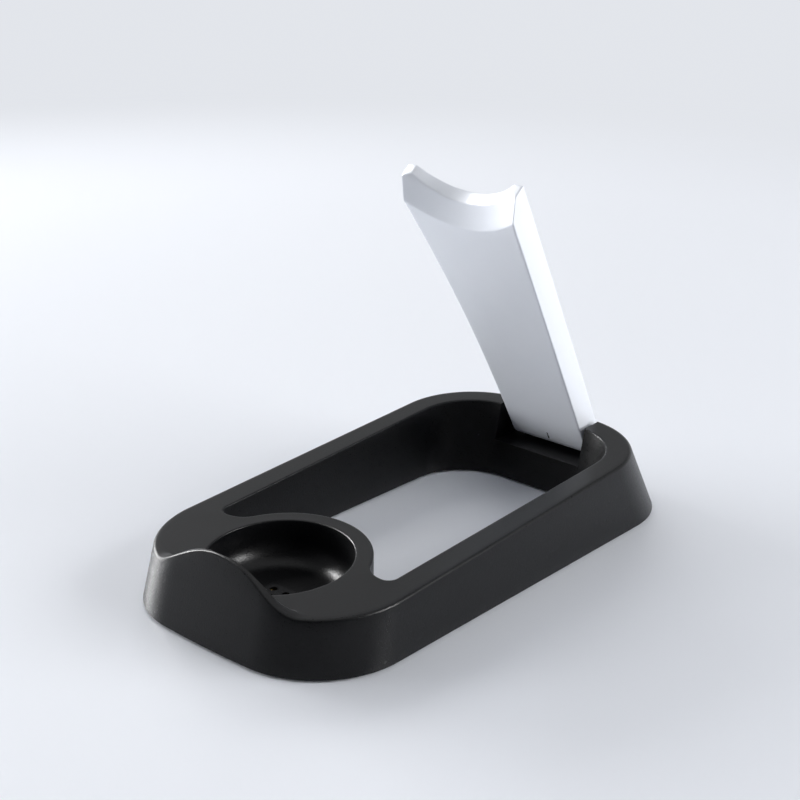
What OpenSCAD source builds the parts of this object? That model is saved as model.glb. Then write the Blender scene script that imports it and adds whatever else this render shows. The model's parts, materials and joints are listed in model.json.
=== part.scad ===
// Shaver charging stand: a ring-shaped base with a cup at its front and a fold-down arm at its rear.
// Millimetres. Z is up, X is the width, and Y runs from the cup's lip to the arm.
// The origin is the middle of the base's footprint, on the table.

/* [Base] */
// Width of the base at the table
base_w = 88; // [80:1:110]
// Length of the base at the table, bow included
base_l = 174; // [160:1:215]
// Height of the deck at the front tip
deck_front_z = 15.9; // [14:0.1:20]
// Rise of the deck towards the rear, in degrees
deck_slope = 3.26; // [2:0.1:4]
// Radius of the front corners at the table
front_corner_r = 29; // [20:1:32]
// Radius of the rear corners at the table
rear_corner_r = 29; // [22:1:32]
// Radius of the bow between the front corners
front_bow_r = 334; // [250:1:500]
// Lean of the side walls, in degrees
side_draft = 4.3; // [2:0.1:6]
// Lean of the front wall, in degrees
front_draft = 15.6; // [8:0.1:17]
// Lean of the rear wall, in degrees
rear_draft = 30.1; // [24:0.1:32]
// How much a corner's radius falls per millimetre of height
corner_draft = 0.07; // [0:0.01:0.12]
// Wall thickness of the housing
wall = 1.8; // [1.4:0.1:2.2]
// Thickness of the deck
deck_t = 1.8; // [1.4:0.1:2.4]
// Thickness of the base plate
plate_t = 1.6; // [1.2:0.1:2]

/* [Ring opening] */
// Half width of the opening at the table
open_half_w = 31.8; // [26:0.1:34]
// Distance of the opening's rear edge from the base's rear edge, at the table
open_rear_gap = 27; // [25:0.1:32]
// Distance of the opening's front edge behind the cup's centre, at the table
open_front_gap = 9.1; // [8:0.1:12]
// Radius of the opening's rear corners
open_rear_r = 19.2; // [14:0.1:22]
// Radius of the opening's front corners
open_front_r = 3; // [2:0.1:5]
// Lean of the opening's side walls, in degrees
open_side_draft = 6.8; // [4:0.1:8]
// Lean of the opening's rear wall, in degrees
open_rear_draft = 11.3; // [8:0.1:14]
// Fillet between the cup's ring and the opening's front edge
web_fillet_r = 8.5; // [6:0.1:9]

/* [Cup] */
// Inner radius of the cup
cup_r = 21.3; // [17:0.1:24]
// Width of the ring's top round the cup
cup_rim_w = 5.1; // [4.5:0.1:6]
// Distance of the cup's edge from the front tip
cup_front_gap = 7.7; // [7:0.1:10]
// Height of the cup's floor over the table
cup_floor_z = 5.4; // [5:0.1:6]
// Thickness of the cup's floor and inner wall
cup_t = 1.6; // [1.2:0.1:2]
// Hollow fillet between the cup's wall and floor
cup_fillet_r = 7; // [4:0.5:9]

/* [Lip] */
// Height of the lip over the deck
lip_h = 9.4; // [6:0.1:12]
// Half width of the lip's wave
lip_half_w = 29; // [24:0.5:34]
// How full the lip's wave is; 1 is a plain cosine
lip_fullness = 1.2; // [1:0.05:1.4]
// Thickness of the lip at the deck
lip_root_t = 3.4; // [2.6:0.1:3.6]
// Thickness of the lip at its top
lip_top_t = 1.1; // [1:0.1:1.8]

/* [Arm] */
// Lean of the arm at its hinge, from upright, in degrees
arm_lean = 28.3; // [24:0.1:32]
// Radius of the arm's slight forward bow
arm_bow_r = 1050; // [800:10:2000]
// Thickness of the arm
arm_t = 8.8; // [7.6:0.1:10.6]
// Half width of the arm at its narrowest
arm_half_w = 15.06; // [12.5:0.01:18.1]
// Radius of the arm's flared sides
arm_flare_r = 1179; // [900:1:1600]
// How far below the hinge the sides are narrowest
arm_flare_start = 15; // [5:1:25]
// How far the folded arm's horns reach past the rear of the cup's ring
horn_reach = 5.2; // [4:0.1:7]
// Angle of the line from the hinge to the horns, from upright, in degrees
horn_angle = 28.6; // [27:0.1:30]
// Slope of the horns' tops, in degrees
horn_slope = 41; // [35:0.5:48]
// Depth of the saddle below the horns' tops, square to them
saddle_depth = 7.1; // [5:0.1:9]
// Gap of the saddle to the cup's ring when folded
saddle_gap = 0.8; // [0.5:0.1:2]
// Radius of the upright hollow on the arm's front, under the saddle
front_hollow_r = 56.3; // [50:0.1:70]
// Wall of the arm's shell
arm_wall = 1.8; // [1.4:0.1:2.2]
// Thickness of the back cover
cover_t = 1.6; // [1.2:0.1:2]
// Rim of the shell round the back cover
cover_rim = 1.1; // [0.9:0.1:1.4]
// Ledge that the back cover lies on
cover_ledge = 1.4; // [1:0.1:1.8]

/* [Hinge] */
// Distance of the hinge axis from the base's rear edge
hinge_setback = 13.8; // [13:0.1:15]
// Clearance of the arm's round foot over the notch's floor
foot_gap = 0.9; // [0.7:0.1:1.4]
// Radius of a hinge pin
pin_r = 1.5; // [1.2:0.1:1.8]
// Length of a hinge pin
pin_l = 8; // [7:0.1:9]
// Wall of a hinge bush's sleeve
bush_wall = 0.7; // [0.5:0.1:0.9]
// Gap of the notch beside the arm
notch_side_gap = 2.05; // [1.8:0.05:3]
// Height of the notch's floor
notch_floor_z = 11.9; // [11.4:0.1:12.2]
// Thickness of the notch's side walls
notch_wall = 2.2; // [1.8:0.1:2.6]
// Radius of a hinge bush's collar
bush_r = 4; // [3.4:0.1:4.2]
// Thickness of the friction washer
washer_t = 0.4; // [0.3:0.05:0.6]

/* [Power] */
// Radius of a lead
lead_r = 0.6; // [0.5:0.05:0.62]
// Spacing of the two leads where they run side by side
lead_pitch = 1.6; // [1.4:0.1:1.7]
// Spacing of the two contacts and of the two inlet pins
pole_pitch = 4.8; // [4.4:0.1:5.2]
// Height of the connector's top over the table
connector_top_z = 6.4; // [6:0.1:8]
// Depth of the contact sleeves' ends below the connector's top
contact_sunk = 0.9; // [0.4:0.1:1.2]
// Radius of the connector's rounded ends
connector_r = 2.8; // [2.6:0.1:3.2]
// Radius of a contact sleeve in the connector
sleeve_r = 1.1; // [0.9:0.1:1.2]
// Radius of an inlet pin
inlet_pin_r = 0.75; // [0.6:0.05:0.9]
// Radius of the inlet socket's rounded ends
inlet_r = 2.3; // [2.1:0.1:2.5]
// Depth of the inlet socket
inlet_depth = 8; // [6:0.5:9]

/* [Feet and screws] */
// Radius of a rubber foot
foot_r = 3.5; // [3:0.1:3.8]
// Height of the housing's lower edge over the table
foot_proud = 0.6; // [0.4:0.1:0.8]
// Radius of a screw's shank
screw_r = 1.1; // [0.9:0.1:1.2]
// Radius of a plate screw's head
screw_head_r = 2; // [1.8:0.1:2.2]
// Length of a plate screw
screw_l = 7.5; // [6:0.5:8]
// Radius of a screw boss
boss_r = 2.4; // [2.2:0.1:2.6]
// Radius of a cover screw's shank
cover_screw_r = 0.9; // [0.8:0.05:1]
// Radius of a cover screw's head
cover_head_r = 1.8; // [1.6:0.1:2]

/* [Fits] */
// Running clearance on the pin, on the radius
pin_gap = 0.05; // [0.03:0.01:0.08]
// Clearance of a piece seated in a hole or a recess
seat_gap = 0.1; // [0.05:0.01:0.2]
// Gap beside a piece that turns
turn_gap = 0.25; // [0.2:0.01:0.4]

/* [Hidden] */

black = [0.10, 0.10, 0.11];
dark = [0.17, 0.17, 0.18];
silver = [0.72, 0.75, 0.80];
steel = [0.62, 0.63, 0.65];
brass = [0.80, 0.65, 0.30];
red = [0.70, 0.12, 0.10];
blue = [0.12, 0.20, 0.55];

// Places that the sizes above give
front_y = -base_l / 2;
rear_y = base_l / 2;
shell_z = foot_proud;
high_z = deck_front_z + lip_h + 8;
cup_setback = cup_front_gap + cup_r;
cup_ring_r = cup_r + cup_rim_w;
cup_y = front_y + cup_setback;
open_rear_y = rear_y - open_rear_gap;
open_front_y = cup_y + open_front_gap;
hinge_y = rear_y - hinge_setback;
hinge_z = notch_floor_z + arm_t / 2 + foot_gap;
arm_l = hinge_y - cup_y - cup_ring_r + horn_reach;
arm_top_h = arm_l * cos(horn_angle);
arm_top_reach = arm_l * sin(horn_angle);
notch_half_w = arm_w(0) + notch_side_gap;
plate_z = shell_z + 0.2;
plate_top = plate_z + plate_t;
notch_block_w = notch_half_w + notch_wall;
notch_block_z = notch_floor_z - wall;
barrel_r = arm_t / 2 - 0.02;
bush_sleeve_r = pin_r + bush_wall;
pin_end = notch_block_w - 0.2;
press_gap = 0.02;
far = 200;

// Places of the four screws that hold the base plate, and of the four feet
foot_front = [base_w / 2 - 14.5, front_y + 14];
foot_rear = [base_w / 2 - 10.5, rear_y - 29.5];
screw_front = [base_w / 2 - 11, foot_front[1] + foot_r + screw_head_r + 1.5];
screw_rear = [notch_block_w + boss_r + 5, rear_y - 19];
screw_places = [for (p = [screw_front, screw_rear], side = [-1, 1]) [side * p[0], p[1]]];
foot_top_z = plate_z + 0.6;

// The inlet block fills the height between the base plate and the notch
inlet_z = (plate_top + notch_block_z) / 2;
inlet_half_w = pole_pitch / 2 + inlet_r + 1.9;
inlet_half_h = (notch_block_z - plate_top) / 2 - seat_gap;
inlet_front_y = rear_y - 17;
inlet_floor_y = rear_wall_y(inlet_z) - 0.4 - inlet_depth;

// Where the leads and the contact sleeves lie. k is 0 for the inner lead and 1 for the outer one.
sleeve_x = pole_pitch / 2;
lead_z = plate_top + 0.1 + lead_r;
lead_end_y = cup_y - sleeve_r - lead_r - 0.05;
function lead_x(k) = open_half_w + tan(open_side_draft) * plate_top + wall + lead_r + 0.45
    + lead_pitch * k;

// Where the arm's pocket and cover start and end over the hinge, and where the cover's screws go
cover_u0 = 9;
cover_u1 = arm_l - 17;
cover_screw_u = [cover_u0 + 9, cover_u1 - 11];

function deck_z(y) = deck_front_z + tan(deck_slope) * (y - front_y);
function rear_wall_y(z) = rear_y - tan(rear_draft) * (z - shell_z);

// Half width of the arm at height u over the hinge
function arm_w(u) = arm_half_w + pow(u + arm_flare_start, 2) / (2 * arm_flare_r);

// The four corners and the bowed front of the base's outline at height z
module outline_corners(z, inset) {
    dz = z - shell_z;
    w = base_w / 2 - tan(side_draft) * dz - inset;
    y0 = front_y + tan(front_draft) * dz + inset;
    y1 = rear_y - tan(rear_draft) * dz - inset;
    rf = front_corner_r - corner_draft * dz - inset;
    rr = rear_corner_r - corner_draft * dz - inset;
    bow = front_bow_r - inset;
    front_centre_y = y0 + bow - sqrt(pow(bow - rf, 2) - pow(w - rf, 2));
    for (side = [-1, 1]) {
        translate([side * (w - rf), front_centre_y]) circle(rf, $fn = 64);
        translate([side * (w - rr), y1 - rr]) circle(rr, $fn = 64);
    }
    intersection() {
        translate([0, y0 + bow]) circle(bow, $fn = 720);
        translate([-(w - rf), y0]) square([2 * (w - rf), rf]);
    }
}

// The base's drafted solid between two heights, drawn in by an inset at each
module drafted(z0, z1, inset0, inset1) {
    hull() {
        translate([0, 0, z0]) linear_extrude(0.01) outline_corners(z0, inset0);
        translate([0, 0, z1]) linear_extrude(0.01) outline_corners(z1, inset1);
    }
}

// The four corners of the ring opening's outline at height z, grown by a margin
module opening_corners(z, grow) {
    dz = z - shell_z;
    w = open_half_w + tan(open_side_draft) * dz + grow;
    y0 = open_front_y - 0.04 * dz - grow;
    y1 = open_rear_y + tan(open_rear_draft) * dz + grow;
    rf = open_front_r + grow;
    rr = open_rear_r + grow;
    for (side = [-1, 1]) {
        translate([side * (w - rf), y0 + rf]) circle(rf, $fn = 48);
        translate([side * (w - rr), y1 - rr]) circle(rr, $fn = 64);
    }
}

// The ring opening's drafted solid, right through the base
module opening_solid(grow) {
    hull() {
        translate([0, 0, -1]) linear_extrude(0.01) opening_corners(-1, grow);
        translate([0, 0, high_z]) linear_extrude(0.01) opening_corners(high_z, grow);
    }
}

// Everything above the sloping deck, moved by an offset square to it
module above_deck(offset_z) {
    translate([0, front_y, deck_front_z]) rotate([deck_slope, 0, 0])
        translate([-far / 2, -far / 4, offset_z]) cube([far, 2 * far, far]);
}

module below_deck(offset_z) {
    translate([0, front_y, deck_front_z]) rotate([deck_slope, 0, 0])
        translate([-far / 2, -far / 4, offset_z - far]) cube([far, 2 * far, far]);
}

// The lip's wave, seen from the front, as a slab across the front wall
module lip_wave() {
    root = deck_z(front_y + tan(front_draft) * deck_front_z);
    steps = 40;
    wave = [for (i = [0:steps]) let (x = lip_half_w * (2 * i / steps - 1))
        [x, root + lip_h * (1 + cos(180 * pow(abs(x) / lip_half_w, lip_fullness))) / 2]];
    translate([0, cup_y - 5, 0]) rotate([90, 0, 0]) linear_extrude(cup_setback + 5)
        polygon(concat([[lip_half_w, root - 6], [-lip_half_w, root - 6]], wave));
}

module lip() {
    difference() {
        lip_wave();
        drafted(deck_front_z, deck_front_z + lip_h + 1, lip_root_t, lip_top_t);
    }
}

// The ring round the cup, with its web and fillets towards the rails
module cup_ring() {
    fillet_y = open_front_y - 0.6 + web_fillet_r;
    fillet_x = sqrt(pow(cup_ring_r + web_fillet_r, 2) - pow(fillet_y - cup_y, 2));
    translate([0, 0, -2]) linear_extrude(far) {
        translate([0, cup_y]) circle(cup_ring_r, $fn = 180);
        for (side = [-1, 1]) difference() {
            polygon([[0, cup_y], [side * fillet_x, fillet_y - web_fillet_r],
                [side * fillet_x, fillet_y]]);
            translate([side * fillet_x, fillet_y]) circle(web_fillet_r, $fn = 90);
        }
    }
}

// The hollow of the cup: a round wall, a hollow fillet and a flat floor
module cup_bore() {
    translate([0, cup_y, 0]) rotate_extrude($fn = 180) difference() {
        translate([0, cup_floor_z]) square([cup_r, far / 4]);
        difference() {
            translate([cup_r - cup_fillet_r, cup_floor_z]) square(cup_fillet_r + 1);
            translate([cup_r - cup_fillet_r, cup_floor_z + cup_fillet_r])
                circle(cup_fillet_r, $fn = 96);
            translate([0, cup_floor_z + cup_fillet_r]) square([cup_r + 1, cup_fillet_r + 2]);
        }
    }
}

// Space under the cup's floor and between its wall and the ring
module cup_underside() {
    difference() {
        intersection() {
            translate([0, cup_y, -1]) cylinder(r = cup_ring_r - cup_t, h = far, $fn = 180);
            below_deck(-deck_t);
        }
        translate([0, cup_y, cup_floor_z - cup_t])
            cylinder(r = cup_r + cup_t, h = far, $fn = 180);
    }
}

module at_screws() {
    for (p = screw_places) translate([p[0], p[1], 0]) children();
}

module screw_bosses() {
    at_screws() translate([0, 0, plate_top + 0.05]) cylinder(r = boss_r, h = far, $fn = 48);
}

module pilot_bores() {
    at_screws() translate([0, 0, plate_z]) cylinder(r = screw_r + press_gap, h = screw_l + 1.5, $fn = 32);
}

// The notch in the rear wall: block round it and the cut itself
module notch_block() {
    translate([-notch_block_w, open_rear_y - 2, notch_block_z])
        cube([2 * notch_block_w, open_rear_gap + 5, far]);
}

module notch_cut() {
    translate([-notch_half_w, open_rear_y - 8, notch_floor_z])
        cube([2 * notch_half_w, open_rear_gap + 20, far]);
    translate([0, hinge_y, hinge_z]) rotate([0, 90, 0])
        cylinder(r = bush_sleeve_r + press_gap, h = 2 * notch_block_w + 0.1, center = true,
            $fn = 64);
}

// The inlet: a block with a rounded socket in its rear face
module inlet_block(grow) {
    translate([-inlet_half_w - grow, inlet_front_y - grow, inlet_z - inlet_half_h - grow])
        cube([2 * (inlet_half_w + grow), 30, 2 * (inlet_half_h + grow)]);
}

module base_housing() {
    color(black) difference() {
        drafted(shell_z, high_z, 0, 0);
        difference() {
            above_deck(0);
            lip();
        }
        difference() {
            intersection() {
                drafted(shell_z - 1, high_z, wall, wall);
                below_deck(-deck_t);
            }
            opening_solid(wall);
            translate([0, cup_y, cup_floor_z - cup_t])
                cylinder(r = cup_r + cup_t, h = far, $fn = 180);
            notch_block();
            screw_bosses();
        }
        cup_underside();
        difference() {
            opening_solid(0);
            cup_ring();
        }
        cup_bore();
        notch_cut();
        pilot_bores();
        connector_body(seat_gap, far / 10);
        inlet_block(seat_gap);
    }
}

// The base plate closes the housing from below, inside its walls
module base_plate() {
    color(dark) difference() {
        union() {
            translate([0, 0, plate_z]) linear_extrude(plate_t) difference() {
                hull() outline_corners(plate_z + plate_t, wall + seat_gap);
                difference() {
                    hull() opening_corners(plate_z + plate_t, wall + seat_gap);
                    translate([0, cup_y]) circle(cup_ring_r - cup_t - seat_gap, $fn = 180);
                }
            }
            lead_ribs();
        }
        at_screws() {
            translate([0, 0, -1]) cylinder(r = screw_head_r + seat_gap, h = plate_z + 2, $fn = 48);
            translate([0, 0, -1]) cylinder(r = screw_r + seat_gap, h = 9, $fn = 32);
        }
        for (f = [foot_front, foot_rear], side = [-1, 1])
            translate([side * f[0], f[1], -1])
                cylinder(r = foot_r + seat_gap / 2, h = 1 + foot_top_z, $fn = 48);
    }
}

// Ribs on the base plate that keep the leads in their rail
module lead_ribs() {
    for (i = [0:2]) {
        y = open_rear_y - open_rear_r - 6 - 30 * i;
        translate([lead_x(1) + lead_r + seat_gap, y, plate_top - 0.2]) cube([0.8, 3, 2.4]);
    }
}

module foot(f, side) {
    color([0.06, 0.06, 0.06]) translate([side * f[0], f[1], 0]) difference() {
        cylinder(r = foot_r, h = foot_top_z, $fn = 48);
        for (k = [0, 1]) translate([-foot_r, (2 * k - 1) * foot_r / 2.6 - 0.25, -1])
            cube([2 * foot_r, 0.5, 1.2]);
    }
}

// A countersunk cross-slot screw whose head's face is at the origin, pointing up
module screw(head_r, shank_r, length, head_t) {
    difference() {
        union() {
            cylinder(r = head_r, h = head_t, $fn = 48);
            cylinder(r = shank_r, h = length, $fn = 32);
        }
        for (turn = [0, 90]) rotate([0, 0, turn]) translate([-head_r * 0.6, -0.2, -1])
            cube([head_r * 1.2, 0.4, 1 + head_t / 2]);
    }
}

module plate_screws() {
    color(steel) at_screws() translate([0, 0, plate_z + 0.1])
        screw(screw_head_r, screw_r, screw_l, 0.85);
}

// The stadium-shaped connector that stands up through the cup's floor
module connector_body(grow, height) {
    translate([0, cup_y, plate_top + 0.1]) linear_extrude(height) {
        for (side = [-1, 1]) translate([side * pole_pitch / 2, 0])
            circle(connector_r + grow, $fn = 64);
        square([pole_pitch, 2 * (connector_r + grow)], center = true);
    }
}

module connector_flange() {
    flange_t = cup_floor_z - cup_t - plate_top - 0.2;
    translate([0, cup_y, plate_top + 0.1]) linear_extrude(flange_t)
        square([pole_pitch + 2 * connector_r + 5, 2 * connector_r + 3.4], center = true);
}

module connector_housing() {
    lead_slot = lead_r + seat_gap;
    color(black) difference() {
        union() {
            connector_body(0, connector_top_z - plate_top - 0.1);
            connector_flange();
        }
        for (side = [-1, 1]) translate([side * pole_pitch / 2, cup_y, 0])
            cylinder(r = sleeve_r + press_gap, h = 20, $fn = 48);
        translate([sleeve_x, cup_y - lead_slot, 0])
            cube([12, 2 * lead_slot, plate_top + 2 * lead_slot + 0.2]);
        translate([-sleeve_x - lead_slot, lead_end_y - lead_slot, 0])
            cube([24, 2 * lead_slot, plate_top + 2 * lead_slot + 0.2]);
    }
}

module contact_sleeve(side) {
    color(brass) translate([side * sleeve_x, cup_y, plate_top + 0.1]) difference() {
        cylinder(r = sleeve_r, h = connector_top_z - contact_sunk - plate_top - 0.1, $fn = 48);
        translate([0, 0, 1.2]) cylinder(r = 0.6, h = 20, $fn = 32);
    }
}

module inlet_socket() {
    color(black) difference() {
        inlet_block(0);
        // The rear face follows the leaning rear wall, a little inside it
        translate([0, rear_wall_y(inlet_z) - 0.4, inlet_z]) rotate([rear_draft, 0, 0])
            translate([-20, 0, -20]) cube(40);
        translate([0, inlet_floor_y, inlet_z]) rotate([-90, 0, 0]) linear_extrude(30) {
            for (side = [-1, 1]) translate([side * pole_pitch / 2, 0]) circle(inlet_r, $fn = 64);
            square([pole_pitch, 2 * inlet_r], center = true);
        }
        for (side = [-1, 1]) translate([side * pole_pitch / 2, 0, inlet_z]) rotate([-90, 0, 0])
            cylinder(r = inlet_pin_r + press_gap, h = rear_y, $fn = 32);
    }
}

module inlet_pin(side) {
    color(steel) translate([side * pole_pitch / 2, inlet_front_y - 1.2, inlet_z])
        rotate([-90, 0, 0])
            cylinder(r = inlet_pin_r, h = inlet_floor_y - inlet_front_y + 1.2 + inlet_depth * 0.8,
                $fn = 32);
}

// The leads: from the inlet's pins round the rear corner, down the rail and under the cup.

function arc(cx, cy, r, a0, a1, n) = [for (i = [0:n]) let (a = a0 + (a1 - a0) * i / n)
    [cx + r * cos(a), cy + r * sin(a), lead_z]];

function lead_route(k) = let (
    cx = open_half_w - open_rear_r,
    cy = open_rear_y - open_rear_r,
    r = lead_x(k) - cx,
    px = (2 * k - 1) * pole_pitch / 2,
    py = inlet_front_y - 1.3,
    run_y = cy + r,
    end_y = k == 0 ? cup_y : lead_end_y,
    turn_x = open_half_w - 2.9,
    turn_r = lead_x(k) - turn_x,
    end_x = k == 0 ? sleeve_x + sleeve_r + 0.05 : -sleeve_x
) concat(
    [[px, py, inlet_z], [px, py - 0.7, inlet_z], [px + 0.3, py - 1.4, inlet_z - 0.8],
        [px + 1.2, (py + run_y) / 2 - 0.4, (inlet_z + lead_z) / 2], [px + 2.6, run_y, lead_z + 0.2],
        [px + 4.4, run_y, lead_z]],
    arc(cx, cy, r, 90, 0, 12),
    arc(turn_x, end_y + turn_r, turn_r, 0, -90, 8),
    [[turn_x - 3, end_y, lead_z], [end_x, end_y, lead_z]]
);

function unit(v) = v / norm(v);

// A round tube along a route: a ring of points square to the route at each of its points
module tube(route, r, sides) {
    n = len(route);
    tangents = [for (i = [0:n - 1]) unit(route[min(i + 1, n - 1)] - route[max(i - 1, 0)])];
    points = [for (i = [0:n - 1]) let (
            side = unit(cross(tangents[i], [0, 0, 1])),
            up = cross(side, tangents[i])
        ) for (k = [0:sides - 1]) let (a = 360 * k / sides)
            route[i] + r * (cos(a) * side + sin(a) * up)];
    skin = [for (i = [0:n - 2], k = [0:sides - 1]) let (
            a = i * sides + k,
            b = i * sides + (k + 1) % sides
        ) each [[a, b, b + sides], [a, b + sides, a + sides]]];
    caps = [[for (k = [sides - 1:-1:0]) k], [for (k = [0:sides - 1]) (n - 1) * sides + k]];
    polyhedron(points, concat(skin, caps), convexity = 10);
}

module lead_left() {
    color(blue) tube(lead_route(0), lead_r, 8);
}

module lead_right() {
    color(red) tube(lead_route(1), lead_r, 8);
}

// The hinge: a stub pin pressed into each side of the arm's barrel, turning in a plastic bush
module along_hinge(x) {
    translate([x, hinge_y, hinge_z]) rotate([0, 90, 0]) children();
}

module hinge_pin(side) {
    color(steel) mirror([side < 0 ? 1 : 0, 0, 0]) {
        along_hinge(pin_end - pin_l) cylinder(r = pin_r, h = pin_l - 0.4, $fn = 48);
        along_hinge(pin_end - 0.4) cylinder(r1 = pin_r, r2 = pin_r - 0.4, h = 0.4, $fn = 48);
    }
}

// side is -1 for the left and 1 for the right, where the friction washer takes part of the gap
module hinge_bush(side) {
    arm_face = arm_w(0) + 0.05;
    inner_x = side < 0 ? arm_face + turn_gap : arm_face + 2 * turn_gap + washer_t;
    collar_t = notch_half_w - inner_x;
    color(black) mirror([side < 0 ? 1 : 0, 0, 0]) difference() {
        union() {
            along_hinge(inner_x) cylinder(r = bush_r, h = collar_t, $fn = 64);
            along_hinge(inner_x) cylinder(r = bush_sleeve_r, h = notch_block_w - inner_x, $fn = 64);
        }
        along_hinge(0) cylinder(r = pin_r + pin_gap, h = far / 4, $fn = 48);
    }
}

module friction_washer() {
    color(dark) along_hinge(arm_w(0) + 0.05 + turn_gap) difference() {
        cylinder(r = bush_r - 0.3, h = washer_t, $fn = 64);
        translate([0, 0, -1]) cylinder(r = pin_r + pin_gap, h = washer_t + 2, $fn = 48);
    }
}

// The arm's own frame: the hinge axis at the origin, the arm rising along Z, its front at -Y
module arm_frame() {
    translate([0, hinge_y, hinge_z]) rotate([arm_lean, 0, 0]) children();
}

// A slab bent about a far axis in front of the arm, between two depths from its middle
module bent_slab(front, back, u0, u1, half_w) {
    rotate([90, 0, 90]) translate([0, 0, -half_w]) linear_extrude(2 * half_w) intersection() {
        translate([-arm_bow_r, 0]) difference() {
            circle(arm_bow_r + back, $fn = 1440);
            circle(arm_bow_r + front, $fn = 1440);
        }
        translate([-40, u0]) square([60, u1 - u0]);
    }
}

// The arm's flared outline seen from the front, drawn in by an inset
module flared(inset, u0, u1) {
    rotate([90, 0, 0]) translate([0, 0, -30]) linear_extrude(60) difference() {
        translate([-40, u0]) square([80, u1 - u0]);
        for (side = [-1, 1])
            translate([side * (arm_half_w + arm_flare_r - inset), -arm_flare_start])
                circle(arm_flare_r, $fn = 1440);
    }
}

module arm_bar(front, back, inset, u0, u1) {
    intersection() {
        bent_slab(front, back, u0, u1, 40);
        flared(inset, u0, u1);
    }
}

// The saddle's hollow, the slanted horn tops and the flat hollow under the saddle
module arm_top_cuts() {
    saddle_r = cup_ring_r + saddle_gap;
    top_y = hinge_y - arm_top_reach;
    top_z = hinge_z + arm_top_h;
    translate([0, top_y, top_z]) rotate([horn_slope, 0, 0]) {
        translate([-50, -50, 0]) cube([100, 100, 60]);
        translate([0, 0, saddle_r - saddle_depth]) rotate([90, 0, 0])
            cylinder(r = saddle_r, h = 120, center = true, $fn = 180);
    }
    translate([0, top_y - front_hollow_r, hinge_z + arm_top_h / 2])
        cylinder(r = front_hollow_r, h = arm_top_h, $fn = 360);
}

module at_cover_screws() {
    for (u = cover_screw_u) {
        bend = asin(u / arm_bow_r);
        translate([0, -arm_bow_r, 0]) rotate([bend, 0, 0]) translate([0, arm_bow_r, 0])
            rotate([90, 0, 0]) children();
    }
}

// What is cut from the bar below the hinge, leaving a round barrel and the heel behind it.
// The heel meets the notch's floor when the arm stands.
module arm_foot_cut() {
    difference() {
        arm_frame() translate([-30, -20, -20]) cube([60, 40, 20]);
        along_hinge(-40) cylinder(r = barrel_r, h = 80, $fn = 96);
        intersection() {
            arm_frame() translate([-40, 0, -30]) cube([80, 30, 40]);
            translate([-40, hinge_y - 20, notch_floor_z + turn_gap]) cube([80, 60, 40]);
        }
    }
}

module arm_front_shell() {
    half = arm_t / 2;
    color(silver) difference() {
        arm_frame() arm_bar(-half, half, 0, -12, arm_top_h + 30);
        arm_foot_cut();
        arm_top_cuts();
        for (side = [-1, 1]) mirror([side < 0 ? 1 : 0, 0, 0])
            along_hinge(pin_end - pin_l - 0.3)
                cylinder(r = pin_r + press_gap, h = pin_l, $fn = 48);
        arm_frame() {
            // The hollow behind the front wall, with a screw post left standing at each end
            difference() {
                arm_bar(-half + arm_wall, half + 2, cover_rim + cover_ledge, cover_u0 + cover_ledge,
                    cover_u1 - cover_ledge);
                at_cover_screws() translate([0, 0, -half + cover_t + seat_gap])
                    cylinder(r = 3, h = arm_t, $fn = 48);
            }
            arm_bar(half - cover_t - seat_gap, half + 2, cover_rim, cover_u0, cover_u1);
            at_cover_screws() translate([0, 0, -half])
                cylinder(r = cover_screw_r + press_gap, h = arm_t - 1.8, $fn = 32);
            // A short slit at the foot of the front face
            translate([-0.25, -half - 1, 1.2]) cube([0.5, 1.5, 3.4]);
        }
    }
}

module arm_back_cover() {
    half = arm_t / 2;
    color(silver * 0.85) arm_frame() difference() {
        arm_bar(half - cover_t, half, cover_rim + seat_gap, cover_u0 + seat_gap, cover_u1 - seat_gap);
        at_cover_screws() {
            translate([0, 0, -half - 1])
                cylinder(r = cover_head_r + seat_gap, h = 1.9, $fn = 48);
            translate([0, 0, -half - 1])
                cylinder(r = cover_screw_r + seat_gap, h = 6, $fn = 32);
        }
    }
}

module cover_screws() {
    color(steel) arm_frame() at_cover_screws() translate([0, 0, -arm_t / 2 + 0.05])
        screw(cover_head_r, cover_screw_r, 5.5, 0.8);
}

base_housing();
base_plate();
foot(foot_front, -1);  // foot_front_left
foot(foot_front, 1);  // foot_front_right
foot(foot_rear, -1);  // foot_rear_left
foot(foot_rear, 1);  // foot_rear_right
plate_screws();
connector_housing();
contact_sleeve(-1);  // contact_sleeve_left
contact_sleeve(1);  // contact_sleeve_right
inlet_socket();
inlet_pin(-1);  // inlet_pin_left
inlet_pin(1);  // inlet_pin_right
lead_left();
lead_right();
hinge_pin(-1);  // hinge_pin_left
hinge_pin(1);  // hinge_pin_right
hinge_bush(-1);  // hinge_bush_left
hinge_bush(1);  // hinge_bush_right
friction_washer();
arm_front_shell();
arm_back_cover();
cover_screws();
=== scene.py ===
# %% [markdown]
# # A charging stand for a shaver
#
# The stand has two big mouldings. A black base lies on the table as a long ring, with a cup at
# its front that the shaver's foot stands in, and a raised lip before the cup. A silver arm is
# hinged in a notch at the rear of the ring. It leans forward over the cup, and its hollow top
# carries the shaver's neck.
#
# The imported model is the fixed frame: every piece made here sits where the CAD says. The small
# parts, such as screws, feet, pins and leads, stay as the CAD made them and get real finishes.
# The two big mouldings are made again here, with the rounded edges, the fillets and the soft lip
# that a mould gives them.

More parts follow.
